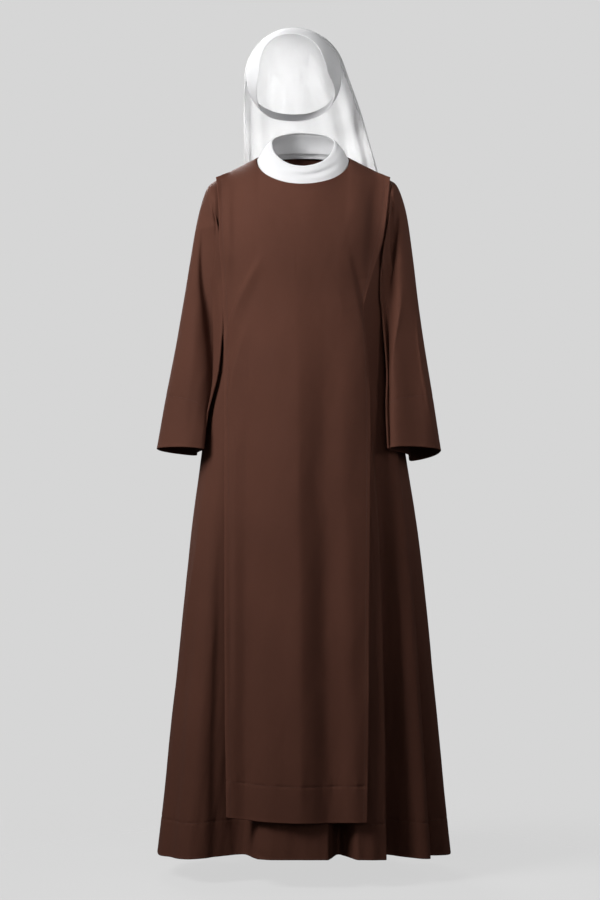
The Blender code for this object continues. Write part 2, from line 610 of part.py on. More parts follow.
def build_collar(look):
    """The collar band leans in and up from the neckline, over a tuck that lies inside it."""
    angles = np.arange(COLLAR_COLUMNS) * 2 * pi / COLLAR_COLUMNS
    inset = TUNIC_CLOTH + 2 * SEAM_GAP
    base = ellipse_ring(
        angles,
        NECK_HALF_WIDTH - inset,
        NECK_HEIGHT,
        (NECK_Y - FRONT_NECK_REACH + inset, NECK_HEIGHT - FRONT_NECK_DROP),
        (NECK_Y + BACK_NECK_REACH - inset, NECK_HEIGHT + BACK_NECK_RISE),
    )
    top = ellipse_ring(
        angles, COLLAR_TOP_HALF_WIDTH, COLLAR_TOP_SIDE_HEIGHT, COLLAR_TOP_FRONT, COLLAR_TOP_BACK
    )
    axis = top.mean(axis=0)
    away = unit((base - axis) * (1, 1, 0))
    rows = [base - (0, 0, COLLAR_TUCK) - away * 0.001]
    for up in np.linspace(0, 1, COLLAR_PROFILE_ROWS + 1):
        rows.append(base + (top - base) * up + away * COLLAR_BULGE * np.sin(pi * up))
    grid = np.array(rows)
    inward = normals(grid, grid.mean(axis=1, keepdims=True), closed=True)
    return wall("collar_band", grid, inward, COLLAR_CLOTH, look, closed=True)


def head_ring(angles, y):
    """Points of the head form at an angle round it in degrees and at a depth y."""
    (centre_x, centre_y, centre_height), (width, depth, height) = HEAD_CENTRE, HEAD_SIZE
    sideways, upwards = np.sin(np.radians(angles)), np.cos(np.radians(angles))
    share = np.sqrt(np.clip(1 - ((y - centre_y) / depth) ** 2, 0, 1))
    reach = share / np.hypot(sideways / width, upwards / height)
    return placed(centre_x + reach * sideways, y, centre_height + reach * upwards)


def build_coif(look):
    """The coif's strip on the head form, from the face opening's edge to its hidden back edge."""
    angles = np.arange(COIF_COLUMNS) * 360 / COIF_COLUMNS
    front, back = read(COIF, "front", angles), read(COIF, "back", angles)
    steps = np.linspace(0, 1, COIF_ROWS + 1)[:, None]
    grid = head_ring(angles[None, :], front + (back - front) * steps)
    inward = normals(grid, placed(*HEAD_CENTRE), closed=True)
    return wall("coif", grid, inward, COIF_CLOTH, look, closed=True)


def build_veil(look):
    """The veil's sheet: half superellipses through three guide lines, with flutes that grow down it.
    Points that would lie inside the head form are moved out onto it."""
    step = np.linspace(0, 1, VEIL_ROWS + 1)[:, None]
    right, middle, left = (
        placed(*(read(VEIL, name, step) for name in names))
        for names in (
            ("right", "right_y", "right_height"),
            ("middle", "middle_y", "middle_height"),
            ("left", "left_y", "left_height"),
        )
    )
    across = np.linspace(-1, 1, VEIL_COLUMNS + 1)[None, :, None]
    bend = 2 / read(VEIL, "square", step)[:, :, None]
    sideways = power(np.sin(pi / 2 * across), bend)
    back = np.clip(np.cos(pi / 2 * across), 0, 1) ** bend
    centre = (left + right) / 2
    grid = centre + (left - right) / 2 * sideways + (middle - centre) * back
    head = placed(*HEAD_CENTRE)
    outward = -normals(grid, head)
    wave = (1 - np.cos(2 * pi * VEIL_FLUTES * (across + 1) / 2)) / 2
    grid = grid + outward * wave * read(VEIL, "fold", step)[:, :, None]
    share = np.linalg.norm((grid - head) / (np.array(HEAD_SIZE) + VEIL_OVER_HEAD), axis=-1, keepdims=True)
    grid = head + (grid - head) / np.minimum(share, 1)
    inward = normals(grid, head)
    return wall("veil", grid, inward, VEIL_CLOTH, look)


def clear_scene():
    for old in list(bpy.data.objects):
        bpy.data.objects.remove(old)


clear_scene()
HABIT = bpy.data.collections.new("religious_habit")
bpy.context.scene.collection.children.link(HABIT)
build_tunic(BROWN)
build_scapular(BROWN)
build_collar(WHITE)
build_coif(WHITE)
build_veil(WHITE)
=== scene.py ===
"""Worn religious habit, dressed: tunic with flared sleeves, scapular, collar band, coif and veil.

Every piece is cloth: a grid of points worked out from sizes, pressed into folds, and closed to a thin
shell with rounded edges. Metres, +Z up, front towards -Y, the wearer's left towards +X. The origin is
on the shoulder line; heights in the tables are above the ground.
"""

from collections import namedtuple
from math import pi, radians

import bpy
import numpy as np
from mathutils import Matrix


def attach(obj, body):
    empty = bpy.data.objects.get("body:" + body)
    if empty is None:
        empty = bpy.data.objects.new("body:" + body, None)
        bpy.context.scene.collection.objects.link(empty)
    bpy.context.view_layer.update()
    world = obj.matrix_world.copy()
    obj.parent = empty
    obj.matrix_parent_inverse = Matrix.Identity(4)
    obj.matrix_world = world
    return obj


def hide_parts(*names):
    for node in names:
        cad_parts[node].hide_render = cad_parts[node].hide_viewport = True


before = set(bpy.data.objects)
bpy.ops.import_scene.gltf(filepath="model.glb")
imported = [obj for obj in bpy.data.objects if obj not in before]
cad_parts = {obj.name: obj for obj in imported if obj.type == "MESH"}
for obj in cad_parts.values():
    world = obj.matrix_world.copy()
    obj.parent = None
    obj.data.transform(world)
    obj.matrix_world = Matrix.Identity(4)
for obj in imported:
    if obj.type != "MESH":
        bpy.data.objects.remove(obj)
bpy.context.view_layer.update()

bl_info = {
    "name": "Religious habit",
    "version": (1, 0, 0),
    "blender": (4, 5, 0),
    "location": "View3D > Sidebar > Habit",
    "description": "Makes a worn habit of cloth: tunic, sleeves, scapular, collar, coif and veil",
    "category": "Add Mesh",
}

SHOULDER_HEIGHT = 1.400
SQUARENESS = 2.35
NECK_HALF_WIDTH = 0.093
NECK_Y = -0.005
NECK_HEIGHT = 1.409
FRONT_NECK = (-0.093, -0.058)
BACK_NECK = (0.080, 0.020)
SHOULDER_TIP = (0.168, 0.006, 1.372)
ARMHOLE_CUT = 0.019
UNDERARM = 1.170
HEM_HEIGHT = 0.044
FRONT_HEM_RISE = 0.014
SHOULDER_ROUNDING = 2.2
CENTRE_SLOPE = 0.95
SHOULDER_SLOPE = 0.52

Section = namedtuple("Section", "height right left front back")
TUNIC = (
    Section(0.040, 0.288, 0.292, 0.200, 0.240),
    Section(0.140, 0.276, 0.281, 0.194, 0.228),
    Section(0.257, 0.264, 0.270, 0.187, 0.214),
    Section(0.387, 0.250, 0.257, 0.180, 0.199),
    Section(0.540, 0.234, 0.242, 0.171, 0.182),
    Section(0.686, 0.219, 0.225, 0.163, 0.165),
    Section(0.824, 0.201, 0.203, 0.155, 0.148),
    Section(0.905, 0.191, 0.191, 0.150, 0.139),
    Section(1.000, 0.175, 0.176, 0.145, 0.127),
    Section(1.090, 0.170, 0.170, 0.137, 0.119),
    Section(1.170, 0.172, 0.172, 0.132, 0.117),
    Section(1.250, 0.172, 0.172, 0.131, 0.117),
)

# Valleys of the skirt: drift turns a valley with height, in degrees a metre, and sharp says how crisp
# the ridge before the valley is
Valley = namedtuple("Valley", "angle before after depth start drift sharp")
TUNIC_VALLEYS = (
    Valley(-172, 10, 12, 0.050, 0.95, 3, 0.5),
    Valley(-146, 11, 9, 0.058, 0.90, -4, 0.6),
    Valley(-119, 9, 13, 0.040, 0.80, 4, 0.5),
    Valley(-66, 12, 13, 0.010, 0.62, 0, 0.0),
    Valley(-25, 24, 14, 0.074, 0.95, -6, 0.0),
    Valley(-16, 8, 8, 0.012, 0.34, 0, 0.0),
    Valley(12, 5, 6, 0.070, 0.50, 0, 0.6),
    Valley(36.5, 7, 17, 0.076, 1.04, 11, 1.0),
    Valley(62.5, 7, 19, 0.054, 0.92, 10, 0.9),
    Valley(108, 12, 9, 0.044, 0.80, -4, 0.6),
    Valley(136, 9, 12, 0.060, 0.92, 5, 0.7),
    Valley(160, 11, 9, 0.046, 0.98, -3, 0.5),
)
VALLEY_GROWTH = 0.95

Edge = namedtuple("Edge", "height right left middle_gap right_gap left_gap")
SCAPULAR_FRONT = (
    Edge(0.129, 0.146, 0.121, 0.012, 0.012, 0.014),
    Edge(0.300, 0.149, 0.124, 0.012, 0.010, 0.012),
    Edge(0.540, 0.151, 0.126, 0.011, 0.008, 0.011),
    Edge(0.808, 0.152, 0.129, 0.010, 0.007, 0.010),
    Edge(0.905, 0.152, 0.130, 0.009, 0.006, 0.010),
    Edge(1.000, 0.153, 0.127, 0.008, 0.006, 0.012),
    Edge(1.066, 0.154, 0.122, 0.007, 0.006, 0.012),
    Edge(1.120, 0.155, 0.121, 0.006, 0.006, 0.011),
    Edge(1.170, 0.157, 0.133, 0.006, 0.006, 0.008),
    Edge(1.219, 0.160, 0.147, 0.006, 0.013, 0.009),
    Edge(1.268, 0.163, 0.157, 0.006, 0.014, 0.012),
    Edge(1.320, 0.167, 0.166, 0.006, 0.013, 0.012),
    Edge(1.375, 0.171, 0.171, 0.006, 0.008, 0.008),
)
SCAPULAR_BACK = (
    Edge(0.129, 0.146, 0.146, 0.014, 0.014, 0.014),
    Edge(0.540, 0.150, 0.150, 0.012, 0.012, 0.012),
    Edge(0.905, 0.153, 0.153, 0.010, 0.010, 0.010),
    Edge(1.170, 0.157, 0.157, 0.007, 0.010, 0.010),
    Edge(1.268, 0.163, 0.163, 0.006, 0.013, 0.013),
    Edge(1.375, 0.171, 0.171, 0.006, 0.008, 0.008),
)
SCAPULAR_BEND_X = 0.146
SCAPULAR_SIDE_SLOPE = 0.5
SCAPULAR_FLUTES = 2.4
SCAPULAR_HEM = 0.129
SCAPULAR_HEM_RISE = 0.008
SHOULDER_GAP = 0.35  # of the scapular's gap that is left over the shoulders

Ring = namedtuple("Ring", "outer outer_height inner inner_height front back sweep flare wrap tilt")
LEFT_SLEEVE = (
    Ring(0.168, 1.372, 0.172, 1.170, -0.064, 0.070, 0.000, 0.00, 0.000, 0.000),
    Ring(0.1860, 1.357, 0.187, 1.157, -0.069, 0.073, 0.012, 0.00, 0.006, 0.000),
    Ring(0.2010, 1.314, 0.188, 1.130, -0.076, 0.070, 0.028, 0.00, 0.010, 0.000),
    Ring(0.2105, 1.260, 0.187, 1.095, -0.084, 0.066, 0.036, 0.02, 0.012, 0.000),
    Ring(0.2190, 1.195, 0.186, 1.058, -0.090, 0.062, 0.032, 0.03, 0.012, 0.000),
    Ring(0.2280, 1.115, 0.187, 1.010, -0.097, 0.058, 0.031, 0.04, 0.012, 0.002),
    Ring(0.2395, 1.032, 0.193, 0.960, -0.105, 0.055, 0.036, 0.05, 0.012, 0.006),
    Ring(0.2545, 0.938, 0.202, 0.895, -0.115, 0.052, 0.049, 0.06, 0.012, 0.010),
    Ring(0.2705, 0.834, 0.210, 0.824, -0.125, 0.050, 0.056, 0.08, 0.012, 0.013),
)
RIGHT_SLEEVE = (
    Ring(0.168, 1.372, 0.172, 1.170, -0.064, 0.070, 0.000, 0.00, 0.000, 0.000),
    Ring(0.1885, 1.354, 0.187, 1.157, -0.068, 0.074, 0.012, 0.00, 0.006, 0.000),
    Ring(0.2035, 1.310, 0.188, 1.130, -0.074, 0.073, 0.028, 0.00, 0.010, 0.000),
    Ring(0.2150, 1.255, 0.187, 1.095, -0.080, 0.071, 0.036, 0.02, 0.012, 0.000),
    Ring(0.2260, 1.190, 0.186, 1.058, -0.085, 0.068, 0.037, 0.03, 0.012, 0.000),
    Ring(0.2385, 1.112, 0.187, 1.010, -0.090, 0.065, 0.034, 0.04, 0.012, 0.001),
    Ring(0.2520, 1.032, 0.193, 0.960, -0.096, 0.062, 0.035, 0.05, 0.012, 0.003),
    Ring(0.2695, 0.940, 0.202, 0.897, -0.102, 0.059, 0.026, 0.06, 0.012, 0.005),
    Ring(0.2875, 0.838, 0.209, 0.830, -0.108, 0.056, 0.027, 0.08, 0.012, 0.007),
)
SLEEVE_SQUARENESS = 2.6
SLEEVE_CLEARANCE = 0.006
SLEEVE_COLUMNS = 160
TUNIC_COLUMNS = 300
COLLAR_CLOTH = 0.0026
COIF_CLOTH = 0.0014
THREAD = 0.0004
ARMHOLE_FADE = 0.16

Crease = namedtuple("Crease", "start start_angle end end_angle width depth")
LEFT_CREASES = (
    Crease(0.10, 128, 0.42, 118, 17, 0.010),
    Crease(0.40, 60, 0.66, 48, 20, 0.009),
    Crease(0.30, -95, 0.75, -70, 26, 0.008),
)
RIGHT_CREASES = (
    Crease(0.10, 138, 0.62, 62, 20, 0.011),
    Crease(0.30, -95, 0.75, -75, 26, 0.008),
)

HEAD_CENTRE = (-0.018, 0.003, 1.575)
HEAD_SIZE = (0.0945, 0.1060, 0.0940)
VEIL_OVER_HEAD = 0.0040
Strip = namedtuple("Strip", "angle front back")
COIF = (
    Strip(0, -0.063, 0.020),
    Strip(37, -0.070, 0.024),
    Strip(75, -0.076, 0.030),
    Strip(100, -0.064, 0.036),
    Strip(118, -0.022, 0.044),
    Strip(138, 0.022, 0.062),
    Strip(160, 0.046, 0.074),
    Strip(180, 0.052, 0.078),
    Strip(200, 0.044, 0.074),
    Strip(220, 0.008, 0.062),
    Strip(238, -0.040, 0.044),
    Strip(260, -0.067, 0.036),
    Strip(290, -0.069, 0.030),
    Strip(322, -0.060, 0.024),
    Strip(360, -0.063, 0.020),
)
Arch = namedtuple(
    "Arch",
    "step right right_y right_height middle middle_y middle_height left left_y left_height square fold",
)
VEIL_LINES = ("right", "middle", "left")
VEIL = (
    Arch(0.00, -0.1155, 0.000, 1.570, -0.018, -0.014, 1.6730, 0.0790, 0.002, 1.590, 2.0, 0.000),
    Arch(0.10, -0.1165, 0.008, 1.545, -0.018, 0.038, 1.668, 0.0880, 0.010, 1.566, 2.0, 0.000),
    Arch(0.20, -0.1160, 0.020, 1.510, -0.017, 0.084, 1.637, 0.1020, 0.022, 1.532, 2.0, 0.001),
    Arch(0.32, -0.1145, 0.034, 1.470, -0.014, 0.112, 1.584, 0.1190, 0.038, 1.487, 2.1, 0.003),
    Arch(0.44, -0.1125, 0.052, 1.430, -0.006, 0.121, 1.510, 0.1350, 0.056, 1.437, 2.2, 0.004),
    Arch(0.56, -0.1130, 0.078, 1.385, 0.002, 0.126, 1.435, 0.1510, 0.080, 1.385, 2.3, 0.006),
    Arch(0.68, -0.1240, 0.098, 1.330, 0.006, 0.131, 1.362, 0.1640, 0.100, 1.330, 2.3, 0.010),
    Arch(0.80, -0.1320, 0.112, 1.265, 0.008, 0.138, 1.285, 0.1720, 0.113, 1.265, 2.3, 0.014),
    Arch(1.00, -0.1400, 0.118, 1.150, 0.010, 0.146, 1.150, 0.1780, 0.118, 1.150, 2.3, 0.017),
)
VEIL_FLUTES = 7

# Folds are placed in the front or back plane: a path of (x, height) points drawn downwards, how wide and
# how high they stand off the cloth, lean, which widens the flank towards +X, and how sharp their crest
# is. A negative lift is a valley. A path that runs past a hem doesn't fade there.
Fold = namedtuple("Fold", "path width lift lean sharp")
SCAPULAR_FRONT_FOLDS = (
    Fold(((-0.135, 1.370), (-0.136, 1.300), (-0.130, 1.225)), 0.011, -0.0050, 0.3, 0.0),
    Fold(((-0.142, 1.350), (-0.142, 1.240), (-0.145, 1.170), (-0.148, 1.090)), 0.008, 0.0045, 0.0, 0.3),
    Fold(((-0.082, 1.205), (-0.104, 1.165), (-0.127, 1.115), (-0.150, 1.035)), 0.010, 0.0085, 0.4, 0.4),
    Fold(((-0.106, 1.080), (-0.129, 1.005), (-0.140, 0.950), (-0.147, 0.890)), 0.010, 0.0075, 0.3, 0.3),
    Fold(((0.140, 1.340), (0.132, 1.235), (0.124, 1.170)), 0.012, -0.0055, 0.2, 0.2),
    Fold(((0.092, 1.215), (0.108, 1.155), (0.128, 1.040), (0.130, 0.960)), 0.010, -0.0065, 0.5, 0.4),
    Fold(((-0.014, 1.160), (-0.012, 0.800), (-0.006, 0.400), (-0.012, -0.250)), 0.034, 0.0125, -0.3, 0.0),
    Fold(((0.046, 1.130), (0.040, 0.800), (0.046, 0.500), (0.056, -0.250)), 0.026, -0.0085, 0.1, 0.0),
    Fold(((0.082, 0.960), (0.086, 0.600), (0.104, -0.150)), 0.018, 0.0030, -0.1, 0.0),
    Fold(((-0.108, 0.960), (-0.112, 0.600), (-0.114, -0.150)), 0.030, -0.0150, 0.3, 0.0),
    Fold(((-0.143, 0.700), (-0.142, 0.500), (-0.140, 0.330)), 0.006, -0.0025, 0.0, 0.0),
    Fold(((-0.117, 0.246), (-0.113, 0.224), (-0.115, 0.200)), 0.005, -0.0012, 0.0, 0.3),
    Fold(((-0.103, 0.240), (-0.106, 0.216), (-0.104, 0.196)), 0.005, -0.0010, 0.0, 0.3),
)
SCAPULAR_BACK_FOLDS = (
    Fold(((-0.140, 1.340), (-0.134, 1.240), (-0.128, 1.150)), 0.012, -0.0045, 0.2, 0.2),
    Fold(((0.142, 1.340), (0.138, 1.220), (0.142, 1.090)), 0.010, 0.0040, 0.0, 0.2),
    Fold(((0.070, 1.330), (0.098, 1.230), (0.126, 1.120), (0.142, 1.020)), 0.012, 0.0045, 0.3, 0.3),
    Fold(((-0.062, 1.330), (-0.090, 1.200), (-0.120, 1.060), (-0.136, 0.930)), 0.012, -0.0045, 0.2, 0.3),
    Fold(((-0.020, 1.180), (-0.024, 0.800), (-0.020, 0.450), (-0.030, -0.050)), 0.022, -0.0070, 0.2, 0.0),
    Fold(((0.030, 1.000), (0.040, 0.600), (0.052, -0.050)), 0.022, 0.0050, 0.2, 0.0),
    Fold(((-0.075, 1.020), (-0.074, 0.600), (-0.086, -0.050)), 0.020, 0.0045, -0.2, 0.0),
    Fold(((0.098, 0.900), (0.104, 0.600), (0.108, 0.150)), 0.016, -0.0045, 0.0, 0.0),
    Fold(((0.112, 0.250), (0.108, 0.222), (0.111, 0.198)), 0.005, -0.0012, 0.0, 0.3),
)
TUNIC_FRONT_FOLDS = (
    Fold(((-0.138, 1.010), (-0.158, 0.950), (-0.172, 0.900), (-0.184, 0.830)), 0.008, 0.0035, 0.2, 0.4),
    Fold(((-0.192, 0.760), (-0.205, 0.640), (-0.223, 0.513), (-0.232, 0.380)), 0.012, 0.0050, 0.3, 0.6),
    Fold(((-0.158, 0.700), (-0.166, 0.400), (-0.176, -0.050)), 0.014, -0.0050, 0.3, 0.0),
    Fold(((0.128, 0.990), (0.142, 0.925), (0.160, 0.870), (0.170, 0.800)), 0.007, 0.0040, 0.0, 0.5),
    Fold(((0.150, 1.080), (0.146, 0.980), (0.148, 0.880)), 0.008, -0.0040, 0.0, 0.3),
    Fold(((-0.142, 0.135), (-0.101, 0.082), (-0.040, 0.074)), 0.006, 0.0016, 0.0, 0.4),
    Fold(((-0.120, 0.106), (-0.085, 0.066), (-0.050, 0.058)), 0.006, -0.0014, 0.0, 0.3),
    Fold(((0.128, 0.300), (0.130, 0.150), (0.132, -0.050)), 0.010, 0.0030, 0.0, 0.2),
)
TUNIC_BACK_FOLDS = (
    Fold(((0.160, 1.060), (0.176, 0.940), (0.190, 0.820)), 0.010, 0.0040, 0.2, 0.4),
    Fold(((-0.158, 1.060), (-0.170, 0.930), (-0.188, 0.800)), 0.010, -0.0040, 0.2, 0.3),
    Fold(((-0.196, 0.780), (-0.214, 0.600), (-0.232, 0.420)), 0.012, 0.0050, 0.2, 0.5),
    Fold(((0.190, 0.740), (0.206, 0.560), (0.226, 0.360)), 0.012, 0.0045, -0.2, 0.5),
)
RIGHT_SLEEVE_FOLDS = (
    Fold(((-0.192, 1.345), (-0.178, 1.300), (-0.166, 1.250), (-0.158, 1.150)), 0.008, 0.0050, 0.2, 0.4),
    Fold(
        ((-0.195, 1.310), (-0.199, 1.240), (-0.1975, 1.168), (-0.187, 1.085), (-0.176, 0.960), (-0.180, 0.880)),
        0.010, -0.0100, 0.5, 0.4,
    ),
    Fold(
        ((-0.178, 1.280), (-0.174, 1.170), (-0.168, 1.085), (-0.162, 0.980), (-0.166, 0.860)),
        0.031, -0.0400, -0.2, 0.0,
    ),
    Fold(((-0.200, 1.150), (-0.212, 1.060), (-0.225, 0.950)), 0.016, 0.0030, 0.0, 0.0),
    Fold(((-0.204, 1.000), (-0.214, 0.930), (-0.220, 0.860)), 0.010, -0.0025, 0.0, 0.2),
)
LEFT_SLEEVE_FOLDS = (
    Fold(((0.184, 1.320), (0.181, 1.290), (0.1755, 1.226), (0.172, 1.120)), 0.010, -0.0180, -0.1, 0.0),
    Fold(((0.192, 1.150), (0.188, 1.105), (0.177, 1.043), (0.166, 0.950)), 0.008, 0.0055, -0.3, 0.8),
    Fold(
        ((0.172, 1.210), (0.168, 1.110), (0.160, 1.030), (0.154, 0.930), (0.156, 0.600)),
        0.020, -0.0320, -0.4, 0.0,
    ),
    Fold(
        ((0.214, 1.190), (0.221, 1.120), (0.227, 1.027), (0.2435, 0.923), (0.268, 0.800)),
        0.006, 0.0060, 0.0, 0.9,
    ),
    Fold(((0.218, 1.260), (0.230, 1.100), (0.246, 0.950), (0.264, 0.700)), 0.030, 0.0130, 0.2, 0.0),
)

CAMERA_HEIGHT = 0.836
CAMERA_DISTANCE = 5.0
CAMERA_X = -0.006
PICTURE_ROWS = 900
PIXELS_PER_METRE = 506


def smooth(knots, values, at):
    """The smooth curve through the knots: a cubic between each two with its neighbours' slopes."""
    knots, values = np.asarray(knots, float), np.asarray(values, float)
    at = np.clip(np.asarray(at, float), knots[0], knots[-1])
    slope = np.gradient(values, knots)
    low = np.clip(np.searchsorted(knots, at, side="right") - 1, 0, len(knots) - 2)
    span = knots[low + 1] - knots[low]
    t = (at - knots[low]) / span
    return (
        values[low] * (2 * t**3 - 3 * t**2 + 1)
        + slope[low] * span * (t**3 - 2 * t**2 + t)
        + values[low + 1] * (3 * t**2 - 2 * t**3)
        + slope[low + 1] * span * (t**3 - t**2)
    )


def read(table, name, at):
    """A named column of a table, smoothly, against the table's first column."""
    return smooth([row[0] for row in table], [getattr(row, name) for row in table], at)


def power(value, exponent):
    """The value's size to the exponent, with its own sign."""
    return np.sign(value) * np.abs(value) ** exponent


def step_up(value, low, high):
    """0 below low, 1 above high, and a cubic ease between them."""
    t = np.clip((value - low) / (high - low), 0, 1)
    return t * t * (3 - 2 * t)


def trough(offset, reach):
    """1 at the middle of a fold and 0 from its reach on: a squared cosine."""
    return np.cos(pi / 2 * np.clip(offset / reach, -1, 1)) ** 2


def unit(vectors):
    return vectors / np.maximum(np.linalg.norm(vectors, axis=-1, keepdims=True), 1e-12)


def placed(x, y, height):
    """Points in the part's frame, from heights above the ground."""
    return np.stack(np.broadcast_arrays(x, y, height - SHOULDER_HEIGHT), axis=-1)


def outward(grid, inside, closed=False):
    """Unit normals of a grid: the cross product of its two directions, turned away from a point inside."""
    if closed:
        around = np.roll(grid, -1, axis=1) - np.roll(grid, 1, axis=1)
    else:
        around = np.gradient(grid, axis=1)
    facing = unit(np.cross(np.gradient(grid, axis=0), around))
    return facing if np.sum(facing * (grid - np.asarray(inside, float))) > 0 else -facing


def waver(a, b, seed, sizes=((0.09, 0.30, 1.0), (0.05, 0.14, 0.5), (0.025, 0.06, 0.25))):
    """Soft unevenness between -1 and 1: sums of sine waves along both directions, with turned phases."""
    source = np.random.default_rng(seed)
    total = np.zeros(np.broadcast(a, b).shape)
    weight = 0
    for across, along, share in sizes:
        for turn in range(4):
            p, q, r, s = source.uniform(-1, 1, 4)
            wave = np.sin(2 * pi * (a / across * (0.8 + 0.4 * p) + 0.5 * q * b / along) + 6 * r)
            total = total + share * wave * np.sin(2 * pi * b / along * (0.7 + 0.3 * q) + 6 * s)
        weight += 2 * share
    return total / weight


def relaxed(grid, rounds, loose):
    """The grid with its points drawn to the mean of their four neighbours, again and again, as a net
    settles. Its edges stay, and loose says how freely each point moves."""
    grid = grid.copy()
    give = 0.5 * loose[1:-1, 1:-1, None]
    for _ in range(rounds):
        mean = (grid[:-2, 1:-1] + grid[2:, 1:-1] + grid[1:-1, :-2] + grid[1:-1, 2:]) / 4
        grid[1:-1, 1:-1] += give * (mean - grid[1:-1, 1:-1])
    return grid


def near_path(a, b, path):
    """Signed distance of points in a plane from a smooth path, and their share of the way along it."""
    steps = np.linspace(0, 1, len(path))
    fine = np.linspace(0, 1, 6 * len(path))
    line = np.stack([smooth(steps, [p[i] for p in path], fine) for i in (0, 1)], axis=-1)
    lengths = np.linalg.norm(np.diff(line, axis=0), axis=1)
    done = np.concatenate([[0], np.cumsum(lengths)]) / lengths.sum()
    best = np.full(np.broadcast(a, b).shape, np.inf)
    signed, share = best.copy(), best.copy()
    for i in range(len(lengths)):
        da, db = line[i + 1] - line[i]
        t = np.clip(((a - line[i, 0]) * da + (b - line[i, 1]) * db) / lengths[i] ** 2, 0, 1)
        off_a, off_b = a - line[i, 0] - t * da, b - line[i, 1] - t * db
        distance = np.hypot(off_a, off_b)
        nearer = distance < best
        side = np.sign(da * off_b - db * off_a)
        best = np.where(nearer, distance, best)
        signed = np.where(nearer, distance * side, signed)
        share = np.where(nearer, done[i] + t * (done[i + 1] - done[i]), share)
    return signed, share


def folded(a, b, folds):
    """The height that all folds together give to points in a plane: across its path each is a bell, which
    a sharp fold mixes with a tent, and along its path it swells and dies away as a sine."""
    lift = np.zeros(np.broadcast(a, b).shape)
    for fold in folds:
        away, share = near_path(a, b, fold.path)
        width = fold.width * (1 + fold.lean * np.sign(away))
        swell = np.sin(pi * np.clip(share, 0.02, 0.98)) ** 0.7
        bell, tent = np.exp(-((away / width) ** 2)), np.exp(-1.5 * np.abs(away) / width)
        lift = lift + fold.lift * swell * (bell + fold.sharp * (tent - bell))
    return lift


def neck_arc(x):
    """1 at the middle of the neckline and 0 from its corners outwards, as an ellipse."""
    return np.sqrt(np.clip(1 - (x / NECK_HALF_WIDTH) ** 2, 0, 1))


def top_line(x, side):
    """(y, height) of a panel's upper edge: the neckline's ellipse, then the straight shoulder seam."""
    reach, rise = FRONT_NECK if side == "front" else BACK_NECK
    tip_x, tip_y, tip_height = SHOULDER_TIP
    along = np.clip((np.abs(x) - NECK_HALF_WIDTH) / (tip_x - NECK_HALF_WIDTH), 0, 1.06)
    y = NECK_Y + (tip_y - NECK_Y) * along + reach * neck_arc(x)
    return y, NECK_HEIGHT + (tip_height - NECK_HEIGHT) * along + rise * neck_arc(x)


def half_widths(x, height):
    return np.where(x > 0, read(TUNIC, "left", height), read(TUNIC, "right", height))


def panel_y(x, height, side):
    """y of the tunic's form: a superellipse below the underarm, above it rounded over to the top line."""
    depth = read(TUNIC, side, np.minimum(height, UNDERARM))
    depth = -depth if side == "front" else depth
    width = half_widths(x, np.minimum(height, UNDERARM))
    share = np.minimum(np.abs(x) / width, 1.0)
    low = depth * (1 - share**SQUARENESS) ** (1 / SQUARENESS)
    edge_y, edge_height = top_line(x, side)
    up = np.clip((height - UNDERARM) / (edge_height - UNDERARM), 0, 1)
    slope = SHOULDER_SLOPE + (CENTRE_SLOPE - SHOULDER_SLOPE) * neck_arc(x)
    fall = (1 - up**SHOULDER_ROUNDING) ** slope
    return np.where(up > 0, edge_y + (low - edge_y) * fall, low)


def valley_depth(angle, height):
    """How far the skirt lies inside its outline: the deepest of its valleys, each a squared cosine that a
    crisp valley mixes with a parabola, growing from its start down to the hem."""
    depth = np.zeros(np.broadcast(angle, height).shape)
    for valley in TUNIC_VALLEYS:
        middle = valley.angle + valley.drift * (height - HEM_HEIGHT)
        offset = (np.degrees(angle) - middle + 180) % 360 - 180
        reach = np.where(offset < 0, valley.before, valley.after)
        grown = np.clip((valley.start - height) / (valley.start - HEM_HEIGHT), 0, 1) ** VALLEY_GROWTH
        t = np.clip(np.abs(offset) / reach, 0, 1)
        crisp = valley.sharp * (offset < 0)
        profile = (1 - crisp) * trough(offset, reach) + crisp * (1 - t**1.6)
        depth = np.maximum(depth, valley.depth * grown * profile)
    return depth


def skirt(angle, height):
    """Points of the tunic below the underarm: a superellipse ring with the valleys pressed in."""
    sine, cosine = np.sin(angle), np.cos(angle)
    width = half_widths(sine, height)
    depth = np.where(cosine > 0, read(TUNIC, "front", height), read(TUNIC, "back", height))
    x = width * power(sine, 2 / SQUARENESS)
    y = -depth * power(cosine, 2 / SQUARENESS)
    out_x = power(x / width, SQUARENESS - 1) / width
    out_y = power(y / depth, SQUARENESS - 1) / depth
    length = np.hypot(out_x, out_y)
    pressed = valley_depth(angle, height)
    return placed(x - pressed * out_x / length, y - pressed * out_y / length, height)


def even_angles(low, high, count):
    """Angles whose points lie evenly spaced along the hem between two angles in degrees."""
    fine = np.radians(np.linspace(low, high, 3000))
    hem = skirt(fine, np.full(fine.shape, HEM_HEIGHT))
    along = np.concatenate([[0], np.cumsum(np.linalg.norm(np.diff(hem, axis=0), axis=1))])
    return np.interp(np.linspace(0, along[-1], count + 1), along, fine)


def armhole_x(up):
    """Half the panel's width at a share of the way up from the underarm to the shoulder tip."""
    underarm = read(TUNIC, "left", UNDERARM)
    straight = underarm + (SHOULDER_TIP[0] - underarm) * up
    return straight - ARMHOLE_CUT * np.sin(pi * np.clip(up, 0, 1)) ** 0.6


def yoke_shares(rows):
    """Shares of the way up from the underarm to the shoulder line, closer together at both ends."""
    return (1 - np.cos(pi * np.arange(1, rows + 1) / rows)) / 2


